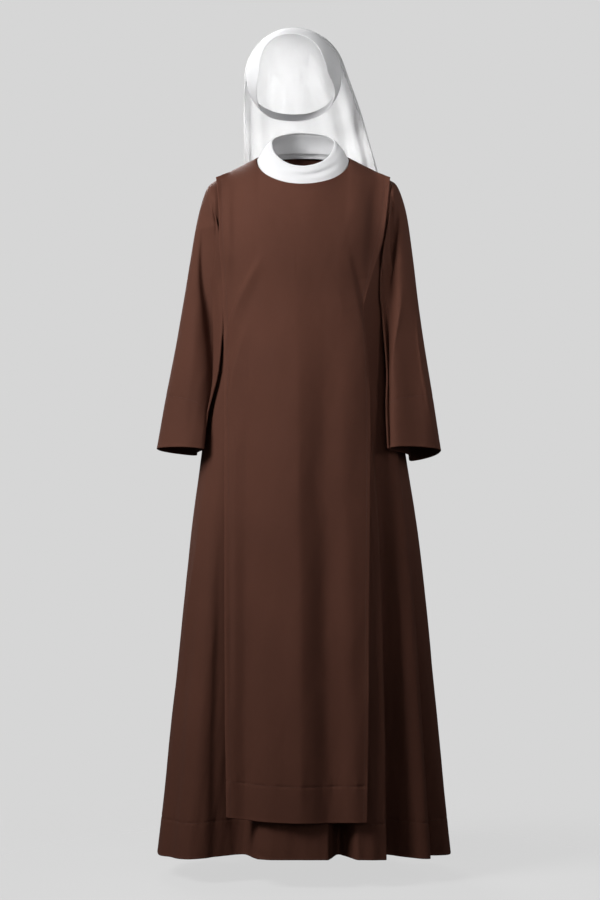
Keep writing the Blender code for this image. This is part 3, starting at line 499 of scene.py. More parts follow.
def gathered(across):
    """Shares of the upper edge's width with one column on each neck corner and closer columns near it."""
    corner = NECK_HALF_WIDTH / SHOULDER_TIP[0]
    column = across[np.argmin(np.abs(across - corner))]
    neck = corner * np.sin(pi / 2 * np.clip(across / column, -1, 1))
    outside = corner + (np.abs(across) - column) * (1 - corner) / (1 - column)
    return np.where(np.abs(across) <= column, neck, np.sign(across) * outside)


def hem_rows(low, high, count, hem):
    """Shares from 0 to 1 with closer rows at the edge and at the hem's stitch line."""
    length = high - low
    plain = np.linspace(0, 1, count + 1)
    edge = np.array([0.0012, 0.003, 0.006]) / length
    stitch = (hem + np.array([-0.008, -0.005, -0.003, -0.0015, 0, 0.0015, 0.003, 0.005, 0.008])) / length
    keep = plain[(plain == 0) | (np.abs(plain - hem / length) > 0.011 / length)]
    return np.unique(np.concatenate([keep, edge, stitch]))


def hem_groove(distance, along, hem, depth, seed):
    """Depth of a hem's stitch line: a narrow groove at the hem's width, deeper here and there, with soft
    puckers across it."""
    uneven = 0.65 + 0.35 * np.sin(along * 2 * pi / 0.043 + 1.3 * np.sin(along * 21 + seed))
    groove = np.exp(-(((distance - hem) / 0.0022) ** 2))
    waves = waver(along, along, seed, ((0.02, 0.9, 1.0), (0.011, 0.5, 0.7)))
    pucker = np.exp(-(((distance - hem) / 0.012) ** 2)) * waves
    return depth * uneven * groove + 0.9 * depth * pucker


def tunic_panel(side, columns, rows, hem):
    """A tunic half: skirt rows from the hem to the underarm, then yoke rows to the shoulder line."""
    front = side == "front"
    angles = even_angles(-90, 90, columns) if front else even_angles(90, 270, columns)
    rise = FRONT_HEM_RISE * np.clip(np.cos(angles), 0, 1) ** 2
    up = hem_rows(HEM_HEIGHT, UNDERARM, rows, hem)[:, None]
    height = HEM_HEIGHT + rise + (UNDERARM - HEM_HEIGHT - rise) * up
    low = skirt(angles[None, :], height)
    across = power(np.sin(angles), 2 / SQUARENESS)
    share = yoke_shares(rows // 3)[:, None]
    x = armhole_x(share) * (across + (gathered(across) - across) * share)
    yoke_height = UNDERARM + (top_line(x, side)[1] - UNDERARM) * share
    high = placed(x, panel_y(x, yoke_height, side), yoke_height)
    grid = np.concatenate([low, high])
    loose = step_up(grid[..., 2] + SHOULDER_HEIGHT, UNDERARM - 0.02, UNDERARM + 0.05)
    return relaxed(grid, 70, loose), len(up) - 1


def armhole_ring(front_edge, back_edge):
    """The armhole's closed outline, from the underarm up the front and down the back."""
    ring = np.concatenate([front_edge, back_edge[-2:0:-1]])
    ring[0] = (front_edge[0] + back_edge[0]) / 2
    ring[len(front_edge) - 1] = (front_edge[-1] + back_edge[-1]) / 2
    return ring


def sleeve_rings(table, creases, angles, along):
    """Sleeve sections: a superellipse through four guide points, flared, wrapped and creased. Angle 0 is
    the inner side, 90 degrees the front and 180 degrees the outer side."""
    step = np.linspace(0, 1, len(table))
    guide = {name: smooth(step, [getattr(r, name) for r in table], along) for name in Ring._fields}
    inner, front = power(np.cos(angles), 2 / SLEEVE_SQUARENESS), power(np.sin(angles), 2 / SLEEVE_SQUARENESS)
    degrees = (np.degrees(angles) + 180) % 360 - 180
    squeeze = np.zeros(np.broadcast(angles, along).shape)
    for crease in creases:
        share = np.clip((along - crease.start) / (crease.end - crease.start), 0, 1)
        centre = crease.start_angle + (crease.end_angle - crease.start_angle) * share
        offset = (degrees - centre + 180) % 360 - 180
        strength = trough(along - (crease.start + crease.end) / 2, 0.75 * (crease.end - crease.start))
        squeeze = np.maximum(squeeze, crease.depth * strength * trough(offset, crease.width))
    half_width = (guide["inner"] - guide["outer"]) / 2
    middle_y = (guide["front"] + guide["back"]) / 2
    half_depth = (guide["back"] - guide["front"]) / 2
    radius = np.hypot(half_width * inner, half_depth * front)
    shrink = 1 - squeeze / np.maximum(radius, 0.01)
    x = (guide["inner"] + guide["outer"]) / 2 + shrink * half_width * inner * (1 + guide["flare"] * front)
    x = x - guide["sweep"] * np.maximum(front, 0) ** 2 - guide["wrap"] * front**2
    y = middle_y - shrink * half_depth * front
    middle = (guide["outer_height"] + guide["inner_height"]) / 2
    height = middle + (guide["inner_height"] - guide["outer_height"]) / 2 * inner + guide["tilt"] * front
    return placed(x, y, height)


def beside_tunic(points):
    """Moves points out onto the tunic's outline with the sleeve's clearance, where they'd lie inside it."""
    x, y, height = points[..., 0], points[..., 1], points[..., 2] + SHOULDER_HEIGHT
    reach = np.clip((UNDERARM - height) / 0.06, 0, 1)
    width = half_widths(x, height) + SLEEVE_CLEARANCE
    depth = np.where(y < 0, read(TUNIC, "front", height), read(TUNIC, "back", height)) + SLEEVE_CLEARANCE
    share = (np.abs(x / width) ** SQUARENESS + np.abs(y / depth) ** SQUARENESS) ** (1 / SQUARENESS)
    out = 1 + reach * (1 / np.clip(share, 0.3, 1) - 1)
    return np.stack([x * out, y * out, points[..., 2]], axis=-1)


def sleeve_grid(table, creases, armhole, flip, rows, hem):
    """A sleeve: it starts on the armhole, whose difference from the sleeve's own section fades out."""
    gaps = np.linalg.norm(armhole - np.roll(armhole, 1, axis=0), axis=1)
    along_edge = np.cumsum(gaps) - gaps[0]
    total = along_edge[-1] + gaps[0]
    angles = np.interp(along_edge, (0, along_edge[len(armhole) // 2], total), (0, pi, 2 * pi))
    down = 1 - hem_rows(0, 0.5, rows, hem)[::-1]
    along = down[:, None] ** 1.1
    grid = sleeve_rings(table, creases, angles[None, :], along)
    start = sleeve_rings(table, creases, angles[None, :], np.zeros((1, 1)))
    fade = np.clip(1 - along / ARMHOLE_FADE, 0, 1)[:, :, None] ** 2
    return beside_tunic((grid + fade * (armhole * flip - start)) * flip), along


def scapular_panel(side, table, columns, rows, hem):
    """A scapular half: the tunic's form below it, moved out by the table's gaps and gentle waves."""
    out = -1 if side == "front" else 1
    corner = NECK_HALF_WIDTH / SCAPULAR_FRONT[-1].left
    even = np.linspace(-1, 1, columns + 1)
    neck = corner * (0.8 * np.sin(pi / 2 * even) + 0.2 * even)
    edge = np.array([0.0012, 0.003, 0.005, 0.0065, 0.008, 0.0095, 0.011]) / 0.15
    plain = np.linspace(corner, 1, columns // 4 + 1)[1:]
    outer_part = np.unique(np.concatenate([plain[plain < 1 - 0.013 / 0.15], 1 - edge, [1.0]]))
    share = np.concatenate([-outer_part[::-1], neck, outer_part])[None, :]
    up = hem_rows(SCAPULAR_HEM, UNDERARM, rows, hem)[:, None]
    foot = SCAPULAR_HEM + SCAPULAR_HEM_RISE * np.clip(-share, 0, 1) ** 2
    low_height = foot + (UNDERARM - foot) * up
    high_up = yoke_shares(rows // 3)[:, None]
    high = UNDERARM + (table[-1].height - UNDERARM) * high_up + 0 * share
    nominal = np.concatenate([low_height, high])
    x = np.where(share < 0, read(table, "right", nominal), read(table, "left", nominal)) * share
    above = np.concatenate([0 * low_height, high_up + 0 * share])
    over_height = UNDERARM + (top_line(x, side)[1] - UNDERARM) * above
    height = np.where(above > 0, over_height, nominal)
    edge_gap = np.where(share < 0, read(table, "right_gap", height), read(table, "left_gap", height))
    gap = read(table, "middle_gap", height)
    gap = gap + (edge_gap - gap) * share**2
    y = panel_y(np.clip(x, -SCAPULAR_BEND_X, SCAPULAR_BEND_X), height, side)
    y = y - out * SCAPULAR_SIDE_SLOPE * np.maximum(np.abs(x) - SCAPULAR_BEND_X, 0) * (1 - above)
    grown = np.clip((UNDERARM - height) / UNDERARM, 0, 1) ** 0.8
    gap = gap + 0.0045 * grown * (1 - np.cos(2 * pi * SCAPULAR_FLUTES * (share + 1) / 2)) / 2
    base = placed(x, y, height)
    base = relaxed(base, 70, step_up(height, UNDERARM - 0.02, UNDERARM + 0.05))
    over = np.clip((height - UNDERARM) / 0.12, 0, 1)[..., None]
    away = outward(base, (0, 0, -0.6))
    lift = (gap * (1 - (1 - SHOULDER_GAP) * step_up(above, 0.35, 0.95)))[..., None]
    return base + out * lift * (0, 1, 0) * (1 - over) + away * lift * over, share + 0 * height, height - foot


def ellipse_ring(angles, half_width, side_height, front, back):
    """A tilted ring through a front and a back (y, height) and two sides. Angle 0 is the front."""
    forward, sideways = np.cos(angles), np.sin(angles)
    y = NECK_Y + np.where(forward > 0, front[0] - NECK_Y, NECK_Y - back[0]) * forward
    height = side_height + np.where(forward > 0, front[1] - side_height, side_height - back[1]) * forward
    return placed(half_width * sideways, y, height)


def head_ring(angles, y):
    """Points of the head form at an angle round it in degrees and at a depth y."""
    (centre_x, centre_y, centre_height), (width, depth, height) = HEAD_CENTRE, HEAD_SIZE
    sideways, upwards = np.sin(np.radians(angles)), np.cos(np.radians(angles))
    share = np.sqrt(np.clip(1 - ((y - centre_y) / depth) ** 2, 0, 1))
    reach = share / np.hypot(sideways / width, upwards / height)
    return placed(centre_x + reach * sideways, y, centre_height + reach * upwards)


def cloth_map(grid, closed):
    """The cloth's own coordinates in metres: the mean run of the grid's rows and of its columns."""
    wrapped = np.concatenate([grid, grid[:, :1]], axis=1) if closed else grid
    across = np.linalg.norm(np.diff(wrapped, axis=1), axis=2).mean(axis=0)
    along = np.linalg.norm(np.diff(wrapped, axis=0), axis=2).mean(axis=1)
    u = np.concatenate([[0], np.cumsum(across)])
    v = np.concatenate([[0], np.cumsum(along)])
    return np.stack(np.meshgrid(u, v), axis=-1)


def shell(name, outer, facing, cloth, material, closed=False, wear=0.0):
    """A closed cloth shell: the outer grid, the same grid one cloth inward, and round every free edge a
    rim with a line of points half a cloth further out, so that the edge is rounded."""
    rows, columns = outer.shape[:2]
    inner = outer - facing * cloth
    index = np.arange(rows * columns).reshape(rows, columns)
    chart = cloth_map(outer, closed)
    around = np.concatenate([index, index[:, :1]], axis=1) if closed else index
    corners = (slice(None, -1), slice(None, -1)), (slice(None, -1), slice(1, None))
    corners += (slice(1, None), slice(1, None)), (slice(1, None), slice(None, -1))
    cells = np.stack([around[c] for c in corners], axis=-1).reshape(-1, 4)
    cell_map = np.stack([chart[c] for c in corners], axis=-2).reshape(-1, 4, 2)
    inside = rows * columns
    points = [outer.reshape(-1, 3), inner.reshape(-1, 3)]
    faces, maps = [cells, cells[:, ::-1] + inside], [cell_map, cell_map[:, ::-1]]
    if closed:
        loops = [(around[0], chart[0]), (around[-1, ::-1], chart[-1, ::-1])]
    else:
        ring = [index[0], index[1:, -1], index[-1, -2::-1], index[-2::-1, 0]]
        ring_map = [chart[0], chart[1:, -1], chart[-1, -2::-1], chart[-2::-1, 0]]
        loops = [(np.concatenate(ring), np.concatenate(ring_map))]
    flat_outer, flat_inner = points
    count = 2 * inside
    for loop, loop_map in loops:
        ring = loop[:-1]
        middle = (flat_outer[ring] + flat_inner[ring]) / 2
        tangent = unit(np.roll(middle, -1, axis=0) - np.roll(middle, 1, axis=0))
        thick = unit(flat_inner[ring] - flat_outer[ring])
        away = unit(np.cross(tangent, thick))
        neighbour = edge_neighbours(index, ring, closed)
        outward_side = np.sum(away * (flat_outer[ring] - flat_outer[neighbour]), axis=1, keepdims=True)
        away = away * np.sign(outward_side)
        points.append(middle + away * cloth / 2)
        rim = count + np.arange(len(ring))
        rim = np.concatenate([rim, rim[:1]])
        a, b, ma, mb = loop[:-1], loop[1:], rim[:-1], rim[1:]
        pair = np.stack([loop_map[:-1], loop_map[1:]], axis=1)
        strip_map = pair[:, [1, 0, 0, 1]]
        faces += [np.stack([b, a, ma, mb], axis=1), np.stack([mb, ma, a + inside, b + inside], axis=1)]
        maps += [strip_map, strip_map]
        count += len(ring)
    points, faces, maps = np.concatenate(points), np.concatenate(faces), np.concatenate(maps)
    first = points[faces[0]]
    turned = np.cross(first[2] - first[0], first[3] - first[1])
    if turned @ facing.reshape(-1, 3)[0] < 0:
        faces, maps = faces[:, ::-1], maps[:, ::-1]
    mesh = grid_mesh(name, points, faces, maps)
    worn = np.ones(len(points))
    worn[: 2 * inside] = np.tile(np.broadcast_to(wear, (rows, columns)).ravel(), 2)
    mark = mesh.attributes.new("wear", "FLOAT", "POINT")
    mark.data.foreach_set("value", worn.astype(np.float32))
    return finished(name, mesh, material)


def edge_neighbours(index, ring, closed):
    """For each point on the grid's edge, the point one cell further in."""
    rows, columns = index.shape
    row, column = ring // columns, ring % columns
    row_in = np.clip(row, 1, rows - 2)
    column_in = column if closed else np.clip(column, 1, columns - 2)
    return index[row_in, column_in]


def grid_mesh(name, points, faces, maps=None):
    """A mesh from whole arrays of points and four-cornered faces, with the cloth's map on the corners."""
    mesh = bpy.data.meshes.new(name)
    mesh.vertices.add(len(points))
    mesh.vertices.foreach_set("co", points.astype(np.float32).ravel())
    mesh.loops.add(faces.size)
    mesh.loops.foreach_set("vertex_index", faces.astype(np.int32).ravel())
    mesh.polygons.add(len(faces))
    mesh.polygons.foreach_set("loop_start", np.arange(0, faces.size, faces.shape[1], dtype=np.int32))
    if maps is not None:
        layer = mesh.uv_layers.new(name="cloth")
        layer.data.foreach_set("uv", maps.astype(np.float32).ravel())
    mesh.update(calc_edges=True)
    mesh.validate()
    mesh.shade_smooth()
    return mesh


def finished(name, mesh, material):
    """An object for the mesh, in the scene, with its material, riding on the habit's one body."""
    mesh.materials.append(material)
    piece = bpy.data.objects.new(name, mesh)
    bpy.context.scene.collection.objects.link(piece)
    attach(piece, "root")
    return piece


def link(tree, source, target):
    tree.links.new(source, target)


def sum_node(tree, kind, first, second=None):
    """A Math node of the kind given, on outputs or numbers."""
    node = tree.nodes.new("ShaderNodeMath")
    node.operation = kind
    for socket, value in zip(node.inputs, (first, second)):
        if value is None:
            continue
        if isinstance(value, (int, float)):
            socket.default_value = value
        else:
            link(tree, value, socket)
    return node.outputs[0]


def noise_node(tree, vector, scale, detail):
    node = tree.nodes.new("ShaderNodeTexNoise")
    node.inputs["Scale"].default_value = scale
    node.inputs["Detail"].default_value = detail
    link(tree, vector, node.inputs["Vector"])
    return node.outputs["Fac"]


def cloth_material(name, dark, light, worn, pitch, relief, rough, sheen, glow=0, depth=0.01):
    """Woven cloth: threads over and under each other as the product of two sine waves on the cloth's own
    map, uneven yarn from stretched noise, soft blotches from noise, and lighter worn edges. Glow lets
    light through thin cloth."""
    material = bpy.data.materials.new(name)
    material.use_nodes = True
    tree = material.node_tree
    shader = tree.nodes["Principled BSDF"]
    place = tree.nodes.new("ShaderNodeTexCoord").outputs["Object"]
    chart = tree.nodes.new("ShaderNodeUVMap")
    chart.uv_map = "cloth"
    axes = tree.nodes.new("ShaderNodeSeparateXYZ")
    link(tree, chart.outputs["UV"], axes.inputs[0])
    turn = 2 * pi / pitch
    warp = sum_node(tree, "SINE", sum_node(tree, "MULTIPLY", axes.outputs["X"], turn))
    weft = sum_node(tree, "SINE", sum_node(tree, "MULTIPLY", axes.outputs["Y"], turn))
    weave = sum_node(tree, "MULTIPLY", warp, weft)
    yarns = []
    for stretch in ((900, 60, 1), (60, 900, 1)):
        mapping = tree.nodes.new("ShaderNodeMapping")
        mapping.inputs["Scale"].default_value = stretch
        link(tree, chart.outputs["UV"], mapping.inputs["Vector"])
        yarns.append(noise_node(tree, mapping.outputs["Vector"], 1.0, 2.0))
    yarn = sum_node(tree, "ADD", yarns[0], yarns[1])
    height = sum_node(tree, "ADD", sum_node(tree, "MULTIPLY", weave, 0.5), yarn)
    bump = tree.nodes.new("ShaderNodeBump")
    bump.inputs["Strength"].default_value = 0.55
    bump.inputs["Distance"].default_value = relief
    link(tree, height, bump.inputs["Height"])
    link(tree, bump.outputs["Normal"], shader.inputs["Normal"])
    blotch = noise_node(tree, place, 5.0, 3.0)
    soft, fine = sum_node(tree, "MULTIPLY", blotch, 0.7), sum_node(tree, "MULTIPLY", yarn, 0.22)
    shade = sum_node(tree, "ADD", soft, fine)
    ramp = tree.nodes.new("ShaderNodeValToRGB")
    ramp.color_ramp.elements[0].position = 0.30
    ramp.color_ramp.elements[0].color = (*dark, 1)
    ramp.color_ramp.elements[1].position = 0.80
    ramp.color_ramp.elements[1].color = (*light, 1)
    link(tree, shade, ramp.inputs["Fac"])
    wear = tree.nodes.new("ShaderNodeAttribute")
    wear.attribute_name = "wear"
    rubbed = sum_node(tree, "MULTIPLY", wear.outputs["Fac"], noise_node(tree, place, 90.0, 2.0))
    mix = tree.nodes.new("ShaderNodeMix")
    mix.data_type = "RGBA"
    link(tree, rubbed, mix.inputs["Factor"])
    link(tree, ramp.outputs["Color"], mix.inputs["A"])
    mix.inputs["B"].default_value = (*worn, 1)
    link(tree, mix.outputs["Result"], shader.inputs["Base Color"])
    uneven = sum_node(tree, "MULTIPLY", noise_node(tree, place, 14.0, 2.0), 0.12)
    roughness = sum_node(tree, "ADD", uneven, rough - 0.06)
    link(tree, roughness, shader.inputs["Roughness"])
    shader.inputs["Sheen Weight"].default_value = sheen
    shader.inputs["Sheen Roughness"].default_value = 0.45
    shader.inputs["Sheen Tint"].default_value = (*light, 1)
    shader.inputs["Specular IOR Level"].default_value = 0.12
    shader.inputs["Subsurface Weight"].default_value = glow
    shader.inputs["Subsurface Radius"].default_value = (1, 1, 1)
    shader.inputs["Subsurface Scale"].default_value = depth
    return material


def brown_cloth(colours):
    found = bpy.data.materials.get("brown_worsted")
    if found is None:
        base = np.array(colours.brown)
        dark, light, worn = base * 0.88, base * 1.10, base * 1.25
        found = cloth_material("brown_worsted", dark, light, worn, 0.0008, 0.00012, 0.82, 0.06)
    return found


def white_cloth(colours, thin):
    """White cotton, which lets much light through where it is thin, as in the veil."""
    name = "veil_cotton" if thin else "collar_cotton"
    found = bpy.data.materials.get(name)
    if found is None:
        base = np.array(colours.white)
        glow, depth = (0.85, 0.006) if thin else (0.4, 0.003)
        found = cloth_material(name, base * 0.97, base, base, 0.0006, 0.00008, 0.86, 0.15, glow, depth)
    return found


def thread_material(name, colour):
    """Sewing thread: slightly glossier than the cloth, with an uneven twist from noise along it."""
    material = bpy.data.materials.get(name)
    if material is None:
        material = bpy.data.materials.new(name)
        material.use_nodes = True
        tree = material.node_tree
        shader = tree.nodes["Principled BSDF"]
        place = tree.nodes.new("ShaderNodeTexCoord").outputs["Object"]
        ramp = tree.nodes.new("ShaderNodeValToRGB")
        ramp.color_ramp.elements[0].color = (*(np.array(colour) * 0.75), 1)
        ramp.color_ramp.elements[1].color = (*(np.array(colour) * 1.15), 1)
        link(tree, noise_node(tree, place, 700.0, 2.0), ramp.inputs["Fac"])
        link(tree, ramp.outputs["Color"], shader.inputs["Base Color"])
        shader.inputs["Roughness"].default_value = 0.55
        shader.inputs["Sheen Weight"].default_value = 0.1
    return material


def stitches(name, lines, pitch, thread, material):
    """Rows of stitches: each is a spindle of five sides and four rings that dips in at both ends, set at an
    even pitch along a line on the cloth. A line is its points and their outward directions."""
    rings, sides = 4, 5
    along = np.linspace(-0.5, 0.5, rings)
    thick = np.array([0.45, 1.0, 1.0, 0.45]) * thread / 2
    turn = 2 * pi * np.arange(sides) / sides
    all_points, all_faces, count = [], [], 0
    for line, facing in lines:
        run = np.concatenate([[0], np.cumsum(np.linalg.norm(np.diff(line, axis=0), axis=1))])
        at = np.arange(pitch, run[-1] - pitch / 2, pitch)
        middle = np.stack([np.interp(at, run, line[:, i]) for i in range(3)], axis=-1)
        ahead = np.stack([np.interp(at + 0.001, run, line[:, i]) for i in range(3)], axis=-1)
        up = unit(np.stack([np.interp(at, run, facing[:, i]) for i in range(3)], axis=-1))
        tangent = unit(ahead - middle)
        side = unit(np.cross(tangent, up))
        length = 0.72 * pitch
        centre = middle[:, None] + tangent[:, None] * along[None, :, None] * length
        centre = centre + up[:, None] * (thread * (0.35 - 2.4 * np.abs(along) ** 2))[None, :, None]
        cosine, sine = (f(turn)[None, None, :, None] for f in (np.cos, np.sin))
        circle = side[:, None, None] * cosine + up[:, None, None] * sine
        points = centre[:, :, None] + circle * thick[None, :, None, None]
        base = count + np.arange(len(at))[:, None, None] * rings * sides
        ring = np.arange(rings - 1)[None, :, None] * sides
        a = base + ring + np.arange(sides)[None, None, :]
        b = base + ring + ((np.arange(sides) + 1) % sides)[None, None, :]
        all_faces.append(np.stack([a, a + sides, b + sides, b], axis=-1).reshape(-1, 4))
        all_points.append(points.reshape(-1, 3))
        count += len(at) * rings * sides
    points, faces = np.concatenate(all_points), np.concatenate(all_faces)
    caps = np.arange(count // (rings * sides))[:, None] * rings * sides
    first, last = np.arange(sides)[None, :], (rings - 1) * sides + np.arange(sides)[None, ::-1]
    ends = np.concatenate([caps + first, caps + last])
    return finished(name, loose_mesh(name, points, faces, ends), material)


def loose_mesh(name, points, faces, ends):
    """A mesh of four-cornered faces and the round end faces of the stitches."""
    mesh = bpy.data.meshes.new(name)
    corners = np.concatenate([faces.ravel(), ends.ravel()]).astype(np.int32)
    starts = np.concatenate([np.arange(len(faces)) * 4, faces.size + np.arange(len(ends)) * ends.shape[1]])
    mesh.vertices.add(len(points))
    mesh.vertices.foreach_set("co", points.astype(np.float32).ravel())
    mesh.loops.add(len(corners))
    mesh.loops.foreach_set("vertex_index", corners)
    mesh.polygons.add(len(starts))
    mesh.polygons.foreach_set("loop_start", starts.astype(np.int32))
    mesh.update(calc_edges=True)
    mesh.validate()
    mesh.shade_smooth()
    return mesh


def row_line(grid, facing, row, closed=False):
    """One row of a cloth grid and its outward directions, as a line for stitches."""
    line, away = grid[row], facing[row]
    if closed:
        line, away = np.concatenate([line, line[:1]]), np.concatenate([away, away[:1]])
    return line, away


def nearest_row(values, wanted):
    return int(np.argmin(np.abs(values - wanted)))


class HabitSizes(bpy.types.PropertyGroup):
    """Sizes of the cloth and of its sewing"""

    cloth: bpy.props.FloatProperty(
        name="Cloth", description="Thickness of the brown cloth",
        default=0.0014, min=0.0005, max=0.003, unit="LENGTH",
    )
    white_cloth: bpy.props.FloatProperty(
        name="White cloth", description="Thickness of the veil's cloth",
        default=0.0009, min=0.0004, max=0.002, unit="LENGTH",
    )
    foot_hem: bpy.props.FloatProperty(
        name="Foot hem", description="Depth of the tunic's and the scapular's hem",
        default=0.068, min=0.02, max=0.12, unit="LENGTH",
    )
    cuff_hem: bpy.props.FloatProperty(
        name="Cuff hem", description="Depth of the hem at the cuffs",
        default=0.062, min=0.02, max=0.1, unit="LENGTH",
    )
    side_hem: bpy.props.FloatProperty(
        name="Side hem", description="Width of the scapular's side hems",
        default=0.008, min=0.004, max=0.02, unit="LENGTH",
    )
    stitch: bpy.props.FloatProperty(
        name="Stitch", description="Length from one stitch to the next",
        default=0.0030, min=0.0015, max=0.006, unit="LENGTH",
    )


class HabitColours(bpy.types.PropertyGroup):
    """Colours of the cloth and the thread"""

    brown: bpy.props.FloatVectorProperty(
        name="Brown", description="Colour of the tunic and the scapular", subtype="COLOR",
        default=(0.100, 0.039, 0.0255), min=0, max=1,
    )
    white: bpy.props.FloatVectorProperty(
        name="White", description="Colour of the collar, coif and veil", subtype="COLOR",
        default=(0.80, 0.80, 0.81), min=0, max=1,
    )
    thread: bpy.props.FloatVectorProperty(
        name="Thread", description="Colour of the sewing thread", subtype="COLOR",
        default=(0.058, 0.024, 0.016), min=0, max=1,
    )


class HabitStage(bpy.types.PropertyGroup):
    """Floor, lights and camera"""

    floor: bpy.props.FloatProperty(
        name="Floor", description="Radius of the floor", default=3.2, min=1, max=10, unit="LENGTH"
    )
    key: bpy.props.FloatProperty(
        name="Key light", description="Power of the main light",
        default=23, min=0, max=2000, unit="POWER",
    )
    fill: bpy.props.FloatProperty(
        name="Fill light", description="Power of the fill light",
        default=3, min=0, max=2000, unit="POWER",
    )
    veil: bpy.props.FloatProperty(
        name="Veil light", description="Power of the light that shines through the veil",
        default=9, min=0, max=2000, unit="POWER",
    )
    side: bpy.props.FloatProperty(
        name="Side light", description="Power of the light on the wearer's left arm and head",
        default=1.1, min=0, max=2000, unit="POWER",
    )
    rim: bpy.props.FloatProperty(
        name="Back lights", description="Power of each light behind",
        default=14, min=0, max=2000, unit="POWER",
    )


class HABIT_OT_tunic(bpy.types.Operator):
    """Make the tunic's two halves and its sleeves"""

    bl_idname = "habit.tunic"
    bl_label = "Tunic"

    def execute(self, context):
        sizes, colours = context.scene.habit_sizes, context.scene.habit_colours
        cloth, brown = sizes.cloth, brown_cloth(colours)
        halves = {}
        for side in ("front", "back"):
            grid, waist = tunic_panel(side, TUNIC_COLUMNS, 100, sizes.foot_hem)
            facing = outward(grid, (0, 0, -0.6))
            height = grid[..., 2] + SHOULDER_HEIGHT
            run = np.linspace(0, 1.2, grid.shape[1])[None, :]
            below = np.clip((UNDERARM - height) / 1.1, 0, 1)
            lift = 0.0011 * below * waver(grid[..., 0] + run, height, 11 if side == "front" else 12)
            folds = TUNIC_FRONT_FOLDS if side == "front" else TUNIC_BACK_FOLDS
            lift = lift + folded(grid[..., 0], height, folds)
            rise = FRONT_HEM_RISE * np.clip(1 - (grid[..., 0] / 0.3) ** 2, 0, 1) * (side == "front")
            distance = height - HEM_HEIGHT - rise
            lift = lift - hem_groove(distance, run + 0 * height, sizes.foot_hem, 0.0011, 5)
            grid = grid + facing * lift[..., None]
            halves[side] = [grid, outward(grid, (0, 0, -0.6)), waist, distance]
        for at in (0, -1):
            self.join(halves["front"], halves["back"], at, -1 - at)
        for side, (grid, facing, waist, distance) in halves.items():
            wear = np.exp(-((np.maximum(distance, 0) / 0.004) ** 2))
            piece = shell(f"tunic_{side}_cloth", grid, facing, cloth, brown, wear=wear)
            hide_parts(f"tunic_{side}")
            thread = thread_material("brown_thread", colours.thread)
            row = nearest_row(distance[:waist, TUNIC_COLUMNS // 2], sizes.foot_hem)
            stitches(f"tunic_{side}_stitching", [row_line(grid, facing, row)], sizes.stitch, THREAD, thread)
        self.sleeves(halves, sizes, colours)
        return {"FINISHED"}

    def join(self, front, back, at, other):
        """Puts the two halves' side seams on the same points and gives them one outward direction."""
        for part in (0, 1):
            shared = (front[part][: front[2] + 1, at] + back[part][: back[2] + 1, other]) / 2
            if part == 1:
                shared = unit(shared)
            front[part][: front[2] + 1, at] = shared
            back[part][: back[2] + 1, other] = shared

    def sleeves(self, halves, sizes, colours):
        """Makes both sleeves from the armholes that the halves' top edges leave open."""
        brown = brown_cloth(colours)
        front, back, waist = halves["front"][0], halves["back"][0], halves["front"][2]
        sides = (
            ("sleeve_left", LEFT_SLEEVE, LEFT_CREASES, LEFT_SLEEVE_FOLDS, 1, -1, 0),
            ("sleeve_right", RIGHT_SLEEVE, RIGHT_CREASES, RIGHT_SLEEVE_FOLDS, -1, 0, -1),
        )
        for name, table, creases, folds, sign, ahead, behind in sides:
            armhole = armhole_ring(front[waist:, ahead], back[waist:, behind])
            armhole = even_ring(armhole, np.linspace(0, 1, SLEEVE_COLUMNS + 1)[:-1])
            grid, along = sleeve_grid(table, creases, armhole, np.array((sign, 1, 1)), 110, sizes.cuff_hem)
            centre = grid.mean(axis=1, keepdims=True)
            facing = outward(grid, centre, closed=True)
            length = 0.5
            distance = (1 - along) * length
            run = 0.5 * np.linspace(0, 1, grid.shape[1])[None, :]
            lift = 0.0009 * np.clip(along * 4, 0, 1) * waver(run, along * length, 21)
            ahead_share = step_up(-facing[..., 1], -0.25, 0.25)
            height = grid[..., 2] + SHOULDER_HEIGHT
            crumple = folded(grid[..., 0], height, folds) * ahead_share * np.clip(along * 8, 0, 1)
            lift = lift - hem_groove(distance, run + 0 * along, sizes.cuff_hem, 0.0009, 9)
            grid = grid + facing * lift[..., None] - crumple[..., None] * (0, 1, 0)
            facing = outward(grid, centre, closed=True)
            wear = np.exp(-((distance + 0 * run) / 0.004) ** 2)
            piece = shell(f"{name}_cloth", grid, facing, sizes.cloth, brown, closed=True, wear=wear)
            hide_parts(name)
            row = nearest_row(distance[:, 0], sizes.cuff_hem)
            thread = thread_material("brown_thread", colours.thread)
            line = row_line(grid, facing, row, closed=True)
            stitches(f"{name}_stitching", [line], sizes.stitch, THREAD, thread)


def even_ring(ring, shares):
    """Points at even shares of the way along each half of a closed outline, keeping its first and its
    halfway point."""
    half = len(ring) // 2
    closed = np.concatenate([ring, ring[:1]])
    run = np.concatenate([[0], np.cumsum(np.linalg.norm(np.diff(closed, axis=0), axis=1))])
    at = np.interp(shares, (0, 0.5, 1), (0, run[half], run[-1]))
    return np.stack([np.interp(at, run, closed[:, i]) for i in range(3)], axis=-1)


